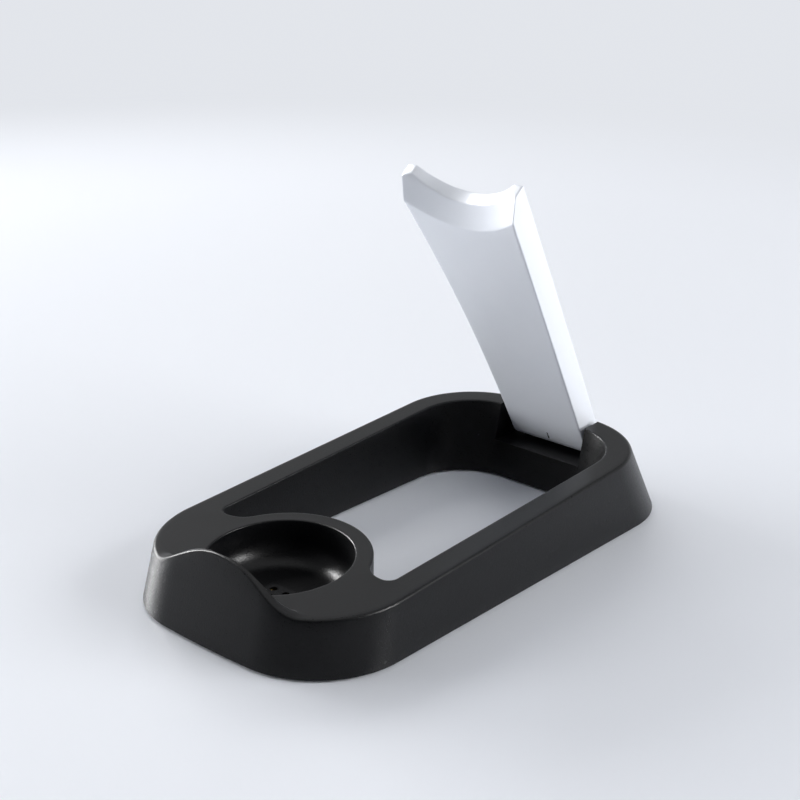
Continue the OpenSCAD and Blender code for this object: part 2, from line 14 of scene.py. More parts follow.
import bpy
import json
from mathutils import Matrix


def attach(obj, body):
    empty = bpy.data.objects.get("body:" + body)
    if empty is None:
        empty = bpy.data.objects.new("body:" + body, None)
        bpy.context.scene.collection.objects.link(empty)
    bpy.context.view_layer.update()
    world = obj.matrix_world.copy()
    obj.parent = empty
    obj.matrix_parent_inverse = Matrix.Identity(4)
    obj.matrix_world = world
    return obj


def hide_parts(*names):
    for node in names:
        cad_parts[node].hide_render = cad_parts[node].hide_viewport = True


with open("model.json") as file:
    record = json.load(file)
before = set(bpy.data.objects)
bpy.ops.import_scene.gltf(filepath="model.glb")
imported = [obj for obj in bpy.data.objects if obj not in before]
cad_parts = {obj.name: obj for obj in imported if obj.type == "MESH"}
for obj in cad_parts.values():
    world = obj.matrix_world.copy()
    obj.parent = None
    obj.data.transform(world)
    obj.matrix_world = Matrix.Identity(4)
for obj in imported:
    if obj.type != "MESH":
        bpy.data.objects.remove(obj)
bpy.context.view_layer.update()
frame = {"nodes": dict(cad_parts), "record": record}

# %% The modules that the script needs
import json
from math import asin, atan2, cos, hypot, pi, radians, sin, sqrt, tan

import bmesh
import bpy
from mathutils import Matrix, Vector

print("Blender", bpy.app.version_string)

# %% [markdown]
# ## Rows of a moulding
#
# A moulding of this kind is a skin of one thickness, whose outline changes from level to level.
# It could be carved from a block with Boolean modifiers, but those leave ragged triangles along
# each cut, and no room for a rounded edge. Here each moulding grows from one closed row of
# vertices. The row is extruded, the new row is moved to its place, and so on, level by level.
# The rows then follow every fillet, and the light runs smoothly over them.

# %% A first row, and the next one
def round_pairs(row):
    """Each vertex of a closed row with the one after it."""
    return list(zip(row, row[1:] + row[:1]))


def first_row(bm, points):
    """A closed row of vertices joined by edges."""
    row = [bm.verts.new(p) for p in points]
    for pair in round_pairs(row):
        bm.edges.new(pair)
    return row


def row_edges(bm, row):
    """The edges of a closed row."""
    return [bm.edges.get(pair) for pair in round_pairs(row)]


def next_row(bm, row, points):
    """Extrudes a closed row once and moves the new vertices to the points."""
    made = bmesh.ops.extrude_edge_only(bm, edges=row_edges(bm, row))["geom"]
    new = {v for v in made if isinstance(v, bmesh.types.BMVert)}
    fresh = [next(e.other_vert(v) for e in v.link_edges if e.other_vert(v) in new) for v in row]
    for v, p in zip(fresh, points):
        v.co = p
    return fresh


def sort_parts(bm):
    """Sorts edges and faces by the numbers of their vertices.

    Some operators leave them in a chance order, and then a later step, such as bridging the
    window, joins other vertices from run to run.
    """
    bm.verts.index_update()
    count = len(bm.verts)

    def rank(part):
        numbers = [v.index for v in part.verts]
        return (min(numbers) * count + max(numbers)) * 4 * count + sum(numbers)

    bm.edges.sort(key=rank)
    bm.faces.sort(key=rank)


def grow(bm, rows):
    """Grows a skin through all the rows of points, and returns its rows of vertices."""
    made = [first_row(bm, rows[0])]
    for points in rows[1:]:
        made.append(next_row(bm, made[-1], points))
    sort_parts(bm)
    return made


# %% Even steps, and heights that settle
def shares(steps):
    """Where equal steps end: 1/steps, 2/steps and so on, up to 1."""
    return [k / steps for k in range(1, steps + 1)]


def quarter(steps):
    """Where equal steps of a quarter turn end."""
    return [share * pi / 2 for share in shares(steps)]


def settle(step, value, rounds=12):
    """Repeats a step that comes closer each time, as for an edge on a wall that leans."""
    for _ in range(rounds):
        value = step(value)
    return value


print("a quarter turn in three steps:", [round(b, 3) for b in quarter(3)])

# %% From a bmesh in millimetres to an object in metres
MM = 0.001
WELD = 0.0005  # vertices nearer than this many millimetres become one
SHARP_FROM = radians(35)  # an edge that bends more than this is shaded sharp


def open_edges(bm):
    """How many edges don't join exactly two faces."""
    return sum(not e.is_manifold for e in bm.edges)


def finish_piece(bm, name, body):
    """Turns all faces outwards, makes the object, and lets it ride on its CAD body."""
    bmesh.ops.remove_doubles(bm, verts=bm.verts, dist=WELD)
    bmesh.ops.recalc_face_normals(bm, faces=bm.faces)
    bmesh.ops.scale(bm, vec=(MM, MM, MM), verts=bm.verts)
    for f in bm.faces:
        f.smooth = True
    mesh = bpy.data.meshes.new(name)
    still_open = open_edges(bm)
    bm.to_mesh(mesh)
    bm.free()
    mesh.set_sharp_from_angle(angle=SHARP_FROM)
    piece = bpy.data.objects.new(name, mesh)
    bpy.context.scene.collection.objects.link(piece)
    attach(piece, body)
    sizes = len(mesh.vertices), "vertices", len(mesh.polygons), "faces"
    print(name, *sizes, still_open, "open edges")
    return piece


# %% [markdown]
# ## The base's measures
#
# The base is one injection moulding in black ABS. All its walls lean, so that it leaves the
# mould: the sides by 4.3 degrees, the front by 15.6 and the rear by 30.1. The deck rises by 3.26
# degrees towards the rear. These numbers are the CAD's own, in millimetres.

# %% Measures of the base
FOOT_Z = 0.6  # the housing's lower edge, which the rubber feet hold off the table
HALF_W, FRONT_Y, REAR_Y = 44.0, -87.0, 87.0
FRONT_R, REAR_R, BOW_R = 29.0, 29.0, 334.0  # the corners, and the slight bow of the front
CORNER_DRAFT = 0.07  # how much a corner's radius shrinks with each millimetre of height
SIDE_LEAN, FRONT_LEAN, REAR_LEAN = tan(radians(4.3)), tan(radians(15.6)), tan(radians(30.1))
DECK_Z, DECK_RISE = 15.9, tan(radians(3.26))
WALL = 1.8
CUP_Y, CUP_R, RING_R = -58.0, 21.3, 26.4
CUP_FLOOR_Z, CUP_FILLET, CUP_T = 5.4, 7.0, 1.6
LIP_H, LIP_HALF_W, LIP_FULLNESS = 9.4, 29.0, 1.2
LIP_ROOT_T, LIP_TOP_T = 3.4, 1.1


def deck_z(y):
    """Height of the sloping deck."""
    return DECK_Z + DECK_RISE * (y - FRONT_Y)


print("deck", deck_z(FRONT_Y), "to", round(deck_z(REAR_Y), 2))

# %% [markdown]
# ## The outline
#
# Seen from above the base is a long rectangle whose corners are big arcs and whose front is
# slightly bowed. A place on the outline is a station: which stretch it is on and how far along.
# The same station can be asked for at any height, and the walls come out with their lean.

# %% Stations round the outline
STRETCHES = (("bow", 40), ("front corner", 40), ("side", 40), ("rear corner", 30), ("rear", 10))


def round_trip(stretches):
    """Stations as (stretch, share of it, side): back along the right side, then home again."""
    half = [(name, k / n) for name, n in stretches for k in range(n)] + [(stretches[-1][0], 1.0)]
    return [(s, t, 1) for s, t in half] + [(s, t, -1) for s, t in half[-2:0:-1]]


stations = round_trip(STRETCHES)
print(len(stations), "stations")


# %% Where a station is
def outline_sizes(z, inset=0.0):
    """The outline's measures at a height, and where its bow runs into its corners."""
    rise = z - FOOT_Z
    w = HALF_W - SIDE_LEAN * rise - inset
    y0 = FRONT_Y + FRONT_LEAN * rise + inset
    y1 = REAR_Y - REAR_LEAN * rise - inset
    rf = FRONT_R - CORNER_DRAFT * rise - inset
    rr = REAR_R - CORNER_DRAFT * rise - inset
    bow = BOW_R - inset
    corner_y = y0 + bow - sqrt((bow - rf) ** 2 - (w - rf) ** 2)
    turn = asin((w - rf) / (bow - rf))
    return w, y0, y1, rf, rr, bow, corner_y, turn


def outline(station, z, inset=0.0):
    """The point of a station at a height, and the direction outwards there."""
    stretch, t, side = station
    w, y0, y1, rf, rr, bow, corner_y, turn = outline_sizes(z, inset)
    if stretch == "bow":
        a = turn * t
        x, y = bow * sin(a), y0 + bow * (1 - cos(a))
    elif stretch == "front corner":
        a = turn + (pi / 2 - turn) * t
        x, y = w - rf + rf * sin(a), corner_y - rf * cos(a)
    elif stretch == "side":
        a = pi / 2
        x, y = w, corner_y + (y1 - rr - corner_y) * t
    elif stretch == "rear corner":
        a = pi / 2 + pi / 2 * t
        x, y = w - rr + rr * sin(a), y1 - rr - rr * cos(a)
    else:
        a = pi
        x, y = (w - rr) * (1 - t), y1
    return Vector((side * x, y, z)), Vector((side * sin(a), -cos(a), 0))


def outline_point(station, z, inset=0.0):
    """The point alone."""
    return outline(station, z, inset)[0]


print("front tip", outline_point(stations[0], FOOT_Z))

# %% [markdown]
# ## The lip
#
# The lip before the cup keeps the shaver's foot from sliding out. It is a wave that rises out of
# the deck to a narrow flat crest and sinks back. It is 3.4 mm thick at its root and 1.1 mm at the
# top, and its inner side stands nearly upright and meets the deck in a small hollow. The lip
# could be a piece of its own that is joined on, but then a seam would show. Here the whole top is
# written as a height over each place (x, y), so that the deck, the lip and the cup's rim all read
# the same surface.

# %% The shape of the lip
LIP_REAR_Y = CUP_Y + 20  # the lip lies before this line
LIP_SIDE = 1.2  # width of its inner side, with the rounded edge and the hollow foot
LIP_EASE = 0.25  # how far the inner side's rounding reaches over the crest
NO_LIP = 0.001


def lip_wave(x, y):
    """Height of the crest over the deck, beside a place on the outer wall."""
    share = min(abs(x) / LIP_HALF_W, 1.0)
    return LIP_H * (1 + cos(pi * share**LIP_FULLNESS)) / 2 if y < LIP_REAR_Y else 0.0


def crest_shift(h, a):
    """How far a wall that faces the direction a has leaned in after rising by h."""
    return h * (FRONT_LEAN * cos(a) ** 2 + SIDE_LEAN * sin(a) ** 2)


def crest_t(h):
    """Width of the flat crest where the lip is h high."""
    return LIP_ROOT_T + (LIP_TOP_T - LIP_ROOT_T) * h / LIP_H


def lip_share(t, h):
    """1 on the crest, falling to 0 down the inner side, at a distance t from its outer edge."""
    v = min(max((t - crest_t(h) + LIP_EASE) / LIP_SIDE, 0.0), 1.0)
    return 1 - v * v * (3 - 2 * v)


print("lip at x = 0, 10, 20:", [round(lip_wave(x, FRONT_Y), 2) for x in (0, 10, 20)])

# %% The height of the top surface
DECK_LEVEL = 16.2  # near the deck's front, where the search for a height starts


def top_z(x, y):
    """Height of the deck or the lip's inner side over a place inside the outline."""
    h = lip_wave(x, y)
    if h < NO_LIP:
        return deck_z(y)
    w, y0, _, rf, _, bow, corner_y, turn = outline_sizes(DECK_LEVEL)
    beside, before = abs(x) - (w - rf), corner_y - y
    a = atan2(beside, before)
    if a > turn:
        d = rf - hypot(beside, before)
    else:
        d = bow - hypot(x, y0 + bow - y)
        a = 0.0
    return deck_z(y) + h * lip_share(d - crest_shift(h, a), h)


def edge_z(station):
    """Height at which a station's wall meets the deck or the crest."""

    def top_there(z):
        p = outline_point(station, z)
        return deck_z(p.y) + lip_wave(p.x, p.y)

    return settle(top_there, DECK_LEVEL)


edge_heights = [edge_z(s) for s in stations]
print("edge from", round(min(edge_heights), 2), "to", round(max(edge_heights), 2))

# %% [markdown]
# ## The outer wall, from the inside of the skin to the deck
#
# The skin starts under the deck, goes down the inner side of the wall, round its lower edge, up
# the outer side, round the edge of the deck and a little way in over the deck or over the lip.
# The edge of the deck is rounded by 0.9 mm, the crest of the lip by 0.5 mm, and by less where the
# cup leaves no room. A bevel afterwards would round all of it by one radius, so the rounding is
# grown row by row. The rows lie close where the lip falls steeply.

# %% Rows of a wall and of its upper edge
FOOT_EDGE_R, FOOT_STEPS, WALL_STEPS = 0.3, 3, 5


def wall_rows(place, line, ceilings, tops):
    """Rows down the inside of a wall, round its lower edge, and up its outside to the tops."""
    levels = [(ceilings, WALL), ([FOOT_Z] * len(line), WALL)]
    for b in (0.0, *quarter(FOOT_STEPS)):
        z, inset = FOOT_Z + FOOT_EDGE_R * (1 - cos(b)), FOOT_EDGE_R * (1 - sin(b))
        levels.append(([z] * len(line), inset))
    low = FOOT_Z + FOOT_EDGE_R
    for share in shares(WALL_STEPS):
        levels.append(([low + (top - low) * share for top in tops], 0.0))
    return [[place(s, z, inset) for s, z in zip(line, heights)] for heights, inset in levels]


def edge_rows(place, line, heights, radii, steps):
    """Rows round the upper edge of a wall."""
    return [
        [place(s, z - r * (1 - sin(b)), r * (1 - cos(b))) for s, z, r in zip(line, heights, radii)]
        for b in quarter(steps)
    ]


# %% How much room the cup leaves
DECK_EDGE_R, CREST_R = 0.9, 0.5
CREST_R_FROM = 2.5  # where the lip is this high, its edge has the crest's radius
RIM_STRIP = 0.9  # strip of deck that belongs to the rim of the cup and of the opening
EDGE_SHARE, STRIP_SHARE = 0.42, 0.45  # how much of the gap to the cup each side may take


def cup_gap(p):
    """Distance of a place from the cup's rim."""
    return hypot(p.x, p.y - CUP_Y) - CUP_R


def rim_strip(gap):
    """Width of the strip round the cup where its rim is that far from the outer edge."""
    return min(RIM_STRIP, STRIP_SHARE * gap)


def edge_r(i):
    """Radius of the rounded outer edge at a station."""
    p = outline_point(stations[i], edge_heights[i])
    share = min(lip_wave(p.x, p.y) / CREST_R_FROM, 1.0)
    return min(DECK_EDGE_R + (CREST_R - DECK_EDGE_R) * share, EDGE_SHARE * cup_gap(p))


radii = [edge_r(i) for i in range(len(stations))]
print("edge radius from", round(min(radii), 2), "to", round(max(radii), 2))

# %% How far the rows go in over the top
DECK_REACH, LIP_MARGIN = 2.0, 0.5  # over the plain deck, and past the lip's inner side
WHOLE_LIP_FROM = 0.4  # where the lip is this high, the rows go over all of it
CUP_CLEAR, LEAST_REACH = 0.05, 0.08
CREST_ROWS, SIDE_ROWS, DECK_ROWS = 2, 7, 3
ROW_STEP, ROW_GAP = 0.1, 0.004  # the usual least step, and the one where the cup is near


def reach(i):
    """How far in the rows of a station go: over the whole lip, but not into the cup."""
    p, out = outline(stations[i], edge_heights[i])
    h = lip_wave(p.x, p.y)
    over_lip = crest_t(h) + LIP_SIDE + LIP_MARGIN
    wanted = DECK_REACH + (over_lip - DECK_REACH) * min(h / WHOLE_LIP_FROM, 1.0)
    rim = CUP_R + rim_strip(cup_gap(p)) + CUP_CLEAR
    from_cup = p.xy - Vector((0, CUP_Y))
    along = from_cup.dot(out.xy)
    room = along * along - from_cup.length_squared + rim * rim
    if room > 0 and p.y < CUP_Y:
        wanted = min(wanted, along - sqrt(room))
    return max(wanted, radii[i] + LEAST_REACH)


def over_top(i):
    """Distances of the rows over the top: on the crest, down its inner side, on the deck."""
    start, end = radii[i], reach(i)
    p = outline_point(stations[i], edge_heights[i])
    side = max(crest_t(lip_wave(p.x, p.y)) - LIP_EASE, start + ROW_STEP)
    stops = [start + (side - start) * share for share in shares(CREST_ROWS)]
    stops += [side + LIP_SIDE * share for share in shares(SIDE_ROWS)]
    foot = stops[-1]
    stops += [foot + (max(end, foot + ROW_STEP) - foot) * share for share in shares(DECK_ROWS)]
    return [min(t, end - ROW_GAP * (len(stops) - 1 - k)) for k, t in enumerate(stops)]


all_stops = [over_top(i) for i in range(len(stations))]
print("rows reach in by", round(min(s[-1] for s in all_stops), 2), "mm or more")

# %% Rows of the outer wall
EDGE_STEPS = 5


def ceiling_z(station):
    """Height of the underside of the deck at the inner face of the wall."""
    return settle(lambda z: deck_z(outline_point(station, z, WALL).y) - WALL, DECK_LEVEL)


wall_tops = [z - r for z, r in zip(edge_heights, radii)]
outer_rows = wall_rows(outline_point, stations, [ceiling_z(s) for s in stations], wall_tops)
outer_rows += edge_rows(outline_point, stations, edge_heights, radii, EDGE_STEPS)
edge_row = len(outer_rows) - 1  # the last row of the deck's rounded edge
for k in range(CREST_ROWS + SIDE_ROWS + DECK_ROWS):
    row = []
    for s, z, stops in zip(stations, edge_heights, all_stops):
        p, out = outline(s, z)
        q = p - out * stops[k]
        h = lip_wave(p.x, p.y)
        q.z = deck_z(q.y) + (h * lip_share(stops[k], h) if h > NO_LIP else 0.0)
        row.append(q)
    outer_rows.append(row)
print(len(outer_rows), "rows of", len(stations), "points")

# %% [markdown]
# ## The opening
#
# Inside the ring is a long opening. Its front edge is the outside of the cup's own round wall,
# with a hollow fillet on each side where that wall meets the rail. The opening's walls lean too,
# and its deck edge is rounded by 0.45 mm. It gets stations of its own, and its rows are made like
# the outer wall's, because a hole that is cut afterwards would have no clean rows along its edge.

# %% Stations round the opening
OPEN_HALF_W, OPEN_FRONT_Y, OPEN_REAR_Y = 31.8, -48.9, 60.0
OPEN_REAR_R, OPEN_CORNER_R, WEB_R = 19.2, 3.0, 8.5
OPEN_SIDE_LEAN, OPEN_FRONT_LEAN, OPEN_REAR_LEAN = tan(radians(6.8)), 0.04, tan(radians(11.3))
LEAST_RUN = 0.1  # straight run that always stays between the fillet and the corner
OPEN_STRETCHES = (
    ("ring", 40), ("web", 16), ("front", 2), ("corner", 8), ("side", 40), ("rear corner", 28),
    ("rear", 10),
)
open_stations = round_trip(OPEN_STRETCHES)
print(len(open_stations), "stations")


# %% Where a station of the opening is
def opening(station, z, inset=0.0):
    """The point of a station on the opening's wall, moved into the plastic by the inset."""
    stretch, t, side = station
    rise = z - FOOT_Z
    w = OPEN_HALF_W + OPEN_SIDE_LEAN * rise
    y0 = OPEN_FRONT_Y - OPEN_FRONT_LEAN * rise
    y1 = OPEN_REAR_Y + OPEN_REAR_LEAN * rise
    web_y = y0 + WEB_R
    web_x = sqrt((RING_R + WEB_R) ** 2 - (web_y - CUP_Y) ** 2)
    corner = min(OPEN_CORNER_R, w - web_x - LEAST_RUN)
    meet = atan2(web_x, web_y - CUP_Y)
    if stretch == "ring":
        g = meet * t
        x, y, nx, ny = RING_R * sin(g), CUP_Y + RING_R * cos(g), -sin(g), -cos(g)
    elif stretch == "web":
        g = pi + meet * (1 - t)
        x, y, nx, ny = web_x + WEB_R * sin(g), web_y + WEB_R * cos(g), sin(g), cos(g)
    elif stretch == "front":
        x, y, nx, ny = web_x + (w - corner - web_x) * t, y0, 0, -1
    elif stretch == "corner":
        g = pi - pi / 2 * t
        x, y = w - corner + corner * sin(g), y0 + corner + corner * cos(g)
        nx, ny = sin(g), cos(g)
    elif stretch == "side":
        x, y, nx, ny = w, y0 + corner + (y1 - OPEN_REAR_R - y0 - corner) * t, 1, 0
    elif stretch == "rear corner":
        g = pi / 2 * (1 - t)
        x, y = w - OPEN_REAR_R + OPEN_REAR_R * sin(g), y1 - OPEN_REAR_R + OPEN_REAR_R * cos(g)
        nx, ny = sin(g), cos(g)
    else:
        x, y, nx, ny = (w - OPEN_REAR_R) * (1 - t), y1, 0, 1
    return Vector((side * (x + nx * inset), y + ny * inset, z))


def opening_edge_z(station, inset=0.0, under=0.0):
    """Height at which the opening's wall meets the deck, or a level under the deck."""
    return settle(lambda z: deck_z(opening(station, z, inset).y) - under, DECK_LEVEL)


open_heights = [opening_edge_z(s) for s in open_stations]
print("the opening's edge from", round(min(open_heights), 2), "to", round(max(open_heights), 2))

# %% Rows of the opening's wall
RIM_R, RIM_STEPS = 0.45, 4
open_ceilings = [opening_edge_z(s, WALL, WALL) for s in open_stations]
open_tops = [z - RIM_R for z in open_heights]
open_rows = wall_rows(opening, open_stations, open_ceilings, open_tops)
open_rows += edge_rows(
    opening, open_stations, open_heights, [RIM_R] * len(open_stations), RIM_STEPS
)
strip = [opening(s, z, RIM_STRIP) for s, z in zip(open_stations, open_heights)]
for p in strip:
    p.z = deck_z(p.y)
open_rows.append(strip)
print(len(open_rows), "rows of", len(open_stations), "points")

# %% [markdown]
# ## The cup
#
# The cup is a round bowl with a hollow fillet at its foot. A slot in its floor lets the charging
# connector through. A spin would make a bowl, but this one's rim follows the sloping deck and
# the lip. So its skin too is grown in rows: it starts under the deck like the others, goes down
# outside the bowl, through the slot and up the inside to the rim.

# %% The slot in the cup's floor, and a row round the cup
CUP_POINTS = 288
SLOT_R, SLOT_HALF = 2.9, 2.4  # the slot is a stadium, 0.1 mm wider than the connector


def slot_reach(a):
    """Distance from the cup's middle to the edge of the slot, in the direction a."""
    c, s = abs(cos(a)), abs(sin(a))
    if s > 0 and SLOT_R * c / s <= SLOT_HALF:
        return SLOT_R / s
    return SLOT_HALF * c + sqrt(SLOT_R**2 - (SLOT_HALF * s) ** 2)


def cup_row(radius, height):
    """A row round the cup. The radius may follow the direction, and the height the place."""
    row = []
    for k in range(CUP_POINTS):
        a = 2 * pi * k / CUP_POINTS
        r = radius(a) if callable(radius) else radius
        x, y = r * cos(a), CUP_Y + r * sin(a)
        row.append(Vector((x, y, height(x, y) if callable(height) else height)))
    return row


print("the slot is", 2 * slot_reach(0), "by", round(2 * slot_reach(pi / 2), 2), "mm")

# %% The cup's rim, which is narrow where the outer wall is near
FRONT_THIRD = -0.5  # where the sine of a direction is under this, the outer wall may be near
ROUND_SHARE = 0.9  # how much of the strip the rim's rounding may take
edge_points = [outline_point(s, z) for s, z in zip(stations, edge_heights)]


def strip_at(x, y):
    """Width of the strip outside the cup's rim in the direction of a place."""
    a = atan2(y - CUP_Y, x)
    if sin(a) > FRONT_THIRD:
        return RIM_STRIP
    nearest = min(edge_points, key=lambda p: abs(atan2(p.y - CUP_Y, p.x) - a))
    return rim_strip(cup_gap(nearest))


def rim_r(x, y):
    """Radius of the rim's rounding in the direction of a place."""
    return min(RIM_R, ROUND_SHARE * strip_at(x, y))


def rim_top(x, y):
    """Height of the top at the outer side of the rim's rounding, in the same direction."""
    grown = (CUP_R + rim_r(x, y)) / hypot(x, y - CUP_Y)
    return top_z(x * grown, CUP_Y + (y - CUP_Y) * grown)


print("rim radius", rim_r(CUP_R, CUP_Y), "at the side,", round(rim_r(0, FRONT_Y), 2), "before")

# %% Rows of the cup
FLOOR_R, SLOT_EDGE, FILLET_STEPS, BOWL_STEPS = 10.0, 0.2, 8, 4
cup_rows = [
    cup_row(CUP_R + CUP_T, lambda x, y: deck_z(y) - WALL),
    cup_row(CUP_R + CUP_T, CUP_FLOOR_Z - CUP_T),
    cup_row(slot_reach, CUP_FLOOR_Z - CUP_T),
    cup_row(slot_reach, CUP_FLOOR_Z - SLOT_EDGE),
    cup_row(lambda a: slot_reach(a) + SLOT_EDGE, CUP_FLOOR_Z),
    cup_row(FLOOR_R, CUP_FLOOR_Z),
]
for b in (0.0, *quarter(FILLET_STEPS)):
    r, z = CUP_R - CUP_FILLET * (1 - sin(b)), CUP_FLOOR_Z + CUP_FILLET * (1 - cos(b))
    cup_rows.append(cup_row(r, z))
bowl_z = CUP_FLOOR_Z + CUP_FILLET
for share in shares(BOWL_STEPS):
    cup_rows.append(
        cup_row(CUP_R, lambda x, y: bowl_z + (rim_top(x, y) - rim_r(x, y) - bowl_z) * share)
    )
for b in quarter(RIM_STEPS):
    cup_rows.append(
        cup_row(
            lambda a: CUP_R + rim_r(cos(a), CUP_Y + sin(a)) * (1 - cos(b)),
            lambda x, y: rim_top(x, y) - rim_r(x, y) * (1 - sin(b)),
        )
    )
cup_rows.append(cup_row(lambda a: CUP_R + strip_at(cos(a), CUP_Y + sin(a)), top_z))
print(len(cup_rows), "rows of", CUP_POINTS, "points")

# %% [markdown]
# ## The skin is closed
#
# Between the last rows of the three skins lies the flat deck, and between their first rows its
# underside. Each is one filled face with two holes in it. The fill works on flat outlines, so
# the rows are laid flat for it and then lifted back to their heights. Each face is marked twice:
# whether it lies on the inside of the skin, which the cuts below need, and whether it lies on
# the deck, which has a smoother finish than the walls and a colour painted a shade lighter, as
# painted light for the sheen that the deck catches.

# %% The housing's skin
INSIDE_ROWS = (2, 2, 3)  # how many of each skin's first rows lie on the inside
TOP_FROM = (edge_row, -2, -2)  # the row of each skin from which on it is deck
housing = bmesh.new()
skins = [grow(housing, rows) for rows in (outer_rows, open_rows, cup_rows)]
inner = housing.faces.layers.int.new("inner")


def fill_between(bm, rows):
    """Fills the flat region between an outer row and the rows of its holes."""
    edges = [e for row in rows for e in row_edges(bm, row)]
    heights = {v: v.co.z for row in rows for v in row}
    for v in heights:
        v.co.z = 0.0
    made = bmesh.ops.triangle_fill(bm, use_beauty=True, edges=edges)["geom"]
    for v, z in heights.items():
        v.co.z = z
    return [f for f in made if isinstance(f, bmesh.types.BMFace)]


under = fill_between(housing, [skin[0] for skin in skins])
deck = fill_between(housing, [skin[-1] for skin in skins])
inside_verts = {v for skin, n in zip(skins, INSIDE_ROWS) for row in skin[:n] for v in row}
top_verts = {v for skin, k in zip(skins, TOP_FROM) for row in skin[k:] for v in row}
for f in housing.faces:
    f[inner] = int(all(v in inside_verts for v in f.verts))
    f.material_index = int(all(v in top_verts for v in f.verts))
print(len(deck), "faces on the deck,", len(under), "under it")

# %% [markdown]
# ## The notch and the inlet's window
#
# The arm stands in a notch that is cut through the rear rail, and the power inlet looks out
# through a window under it. The skin is cut along the planes of each, what lies inside is
# deleted, and new walls close the cut. The inside of the skin is cut by a wider notch, so that
# the notch keeps its wall.

# %% Cutting a box out of one side of the skin
NOTCH_HALF_W, NOTCH_Z, NOTCH_WALL = 17.205, 11.9, 2.2
RAIL_Y, ABOVE_ALL = 45.0, 60.0  # the rear rail lies behind the one and below the other
ON_PLANE, NEAR = 0.001, 0.01


def each_once(parts):
    """A list without repeats. A set's order, and so the mesh, would change from run to run."""
    return list(dict.fromkeys(parts))


def cut_box(bm, side, half_w, low, high, behind):
    """Cuts one side of the skin along a box across the rear rail, and deletes what is inside."""
    planes = [((x, 0, 0), (1, 0, 0)) for x in (half_w, -half_w)]
    planes += [((0, 0, z), (0, 0, 1)) for z in (low, high)]
    for co, no in planes:
        sort_parts(bm)
        near = [f for f in bm.faces if f[inner] == side and max(v.co.y for v in f.verts) > behind]
        parts = each_once(p for f in near for p in (f, *f.edges, *f.verts))
        bmesh.ops.bisect_plane(bm, geom=parts, dist=ON_PLANE, plane_co=co, plane_no=no)
    gone = []
    for f in bm.faces:
        c = f.calc_center_median()
        if f[inner] == side and c.y > behind and abs(c.x) < half_w and low < c.z < high:
            gone.append(f)
    bmesh.ops.delete(bm, geom=gone, context="FACES")
    sort_parts(bm)


def close_notch(bm, side, half_w, floor):
    """Makes the floor and the two side walls of a notch. Where they show, they get the deck's
    smoother finish and its colour painted a shade lighter.
    """
    rim = [e for e in bm.edges if e.is_boundary]
    low = [v for v in each_once(v for e in rim for v in e.verts) if abs(v.co.z - floor) < NEAR]
    crosses, made = [], []
    for x in (-half_w, half_w):
        crosses.append(bm.edges.new([v for v in low if abs(v.co.x - x) < NEAR]))
        wall = [e for e in rim if all(abs(v.co.x - x) < NEAR for v in e.verts)]
        made += bmesh.ops.contextual_create(bm, geom=wall + crosses[-1:])["faces"]
    level = [e for e in rim if all(abs(v.co.z - floor) < NEAR for v in e.verts)]
    made += bmesh.ops.contextual_create(bm, geom=level + crosses)["faces"]
    for f in made:
        f[inner], f.material_index = side, 1 - side


for side, half_w, floor in (
    (0, NOTCH_HALF_W, NOTCH_Z), (1, NOTCH_HALF_W + NOTCH_WALL, NOTCH_Z - WALL),
):
    cut_box(housing, side, half_w, floor, ABOVE_ALL, RAIL_Y)
    close_notch(housing, side, half_w, floor)
print("open edges after the notch:", open_edges(housing))

# %% The window for the inlet
WINDOW_HALF_W, WINDOW_LOW, WINDOW_HIGH, WINDOW_Y = 6.7, 2.42, 10.04, 66.0
for side in (0, 1):
    cut_box(housing, side, WINDOW_HALF_W, WINDOW_LOW, WINDOW_HIGH, WINDOW_Y)
bmesh.ops.bridge_loops(housing, edges=[e for e in housing.edges if e.is_boundary])
print("open edges after the window:", open_edges(housing))

# %% The finished housing
base_shell = finish_piece(housing, "base_shell", "base")
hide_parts("base_housing")

# %% [markdown]
# ## The arm's measures
#
# The arm is a slightly bowed bar of silver ABS. It stands in its own frame, with the hinge axis
# at the origin and the arm rising from it, and that frame leans forward by 28.3 degrees. Its
# sides flare upwards. Its top is cut three times: a slanted plane makes the horns' tops, a round
# saddle between them fits the shaver's neck, and an upright hollow under the saddle lets the
# shaver's body stand close.

# %% Measures of the arm
HINGE_Y, HINGE_Z, LEAN = 73.2, 17.2, radians(28.3)
ARM_BOW_R, ARM_HALF_T = 1050.0, 4.4
ARM_HALF_W, FLARE_R, FLARE_START = 15.06, 1179.0, 15.0
TOP_Y, TOP_Z, HORN_SLOPE = 20.54, 113.78, radians(41)
SADDLE_R, SADDLE_DEPTH, HOLLOW_R = 27.2, 7.1, 56.3
SADDLE_HALF_W = sqrt(SADDLE_R**2 - (SADDLE_R - SADDLE_DEPTH) ** 2)
COVER_RIM, COVER_LOW, COVER_HIGH, COVER_DEPTH = 1.1, 9.0, 93.0, 1.7
HEEL_Z, HEEL_FRONT, BARREL_R = 12.15, 2.72, 4.38


def arm_point(u, d):
    """World (y, z) at height u over the hinge and depth d behind the middle of the bar."""
    a = asin(u / ARM_BOW_R)
    y, z = -ARM_BOW_R + (ARM_BOW_R + d) * cos(a), (ARM_BOW_R + d) * sin(a)
    return HINGE_Y + y * cos(LEAN) - z * sin(LEAN), HINGE_Z + y * sin(LEAN) + z * cos(LEAN)


def arm_place(y, z):
    """The height u and depth d of a world (y, z)."""
    y, z = y - HINGE_Y, z - HINGE_Z
    y, z = y * cos(LEAN) + z * sin(LEAN), -y * sin(LEAN) + z * cos(LEAN)
    return ARM_BOW_R * sin(atan2(z, y + ARM_BOW_R)), hypot(z, y + ARM_BOW_R) - ARM_BOW_R


def half_width(u):
    """Half the arm's width at a height, which grows as the sides flare."""
    return ARM_HALF_W + (u + FLARE_START) ** 2 / (2 * FLARE_R)


print("width at the hinge and near the top:", [round(2 * half_width(u), 2) for u in (0, 110)])

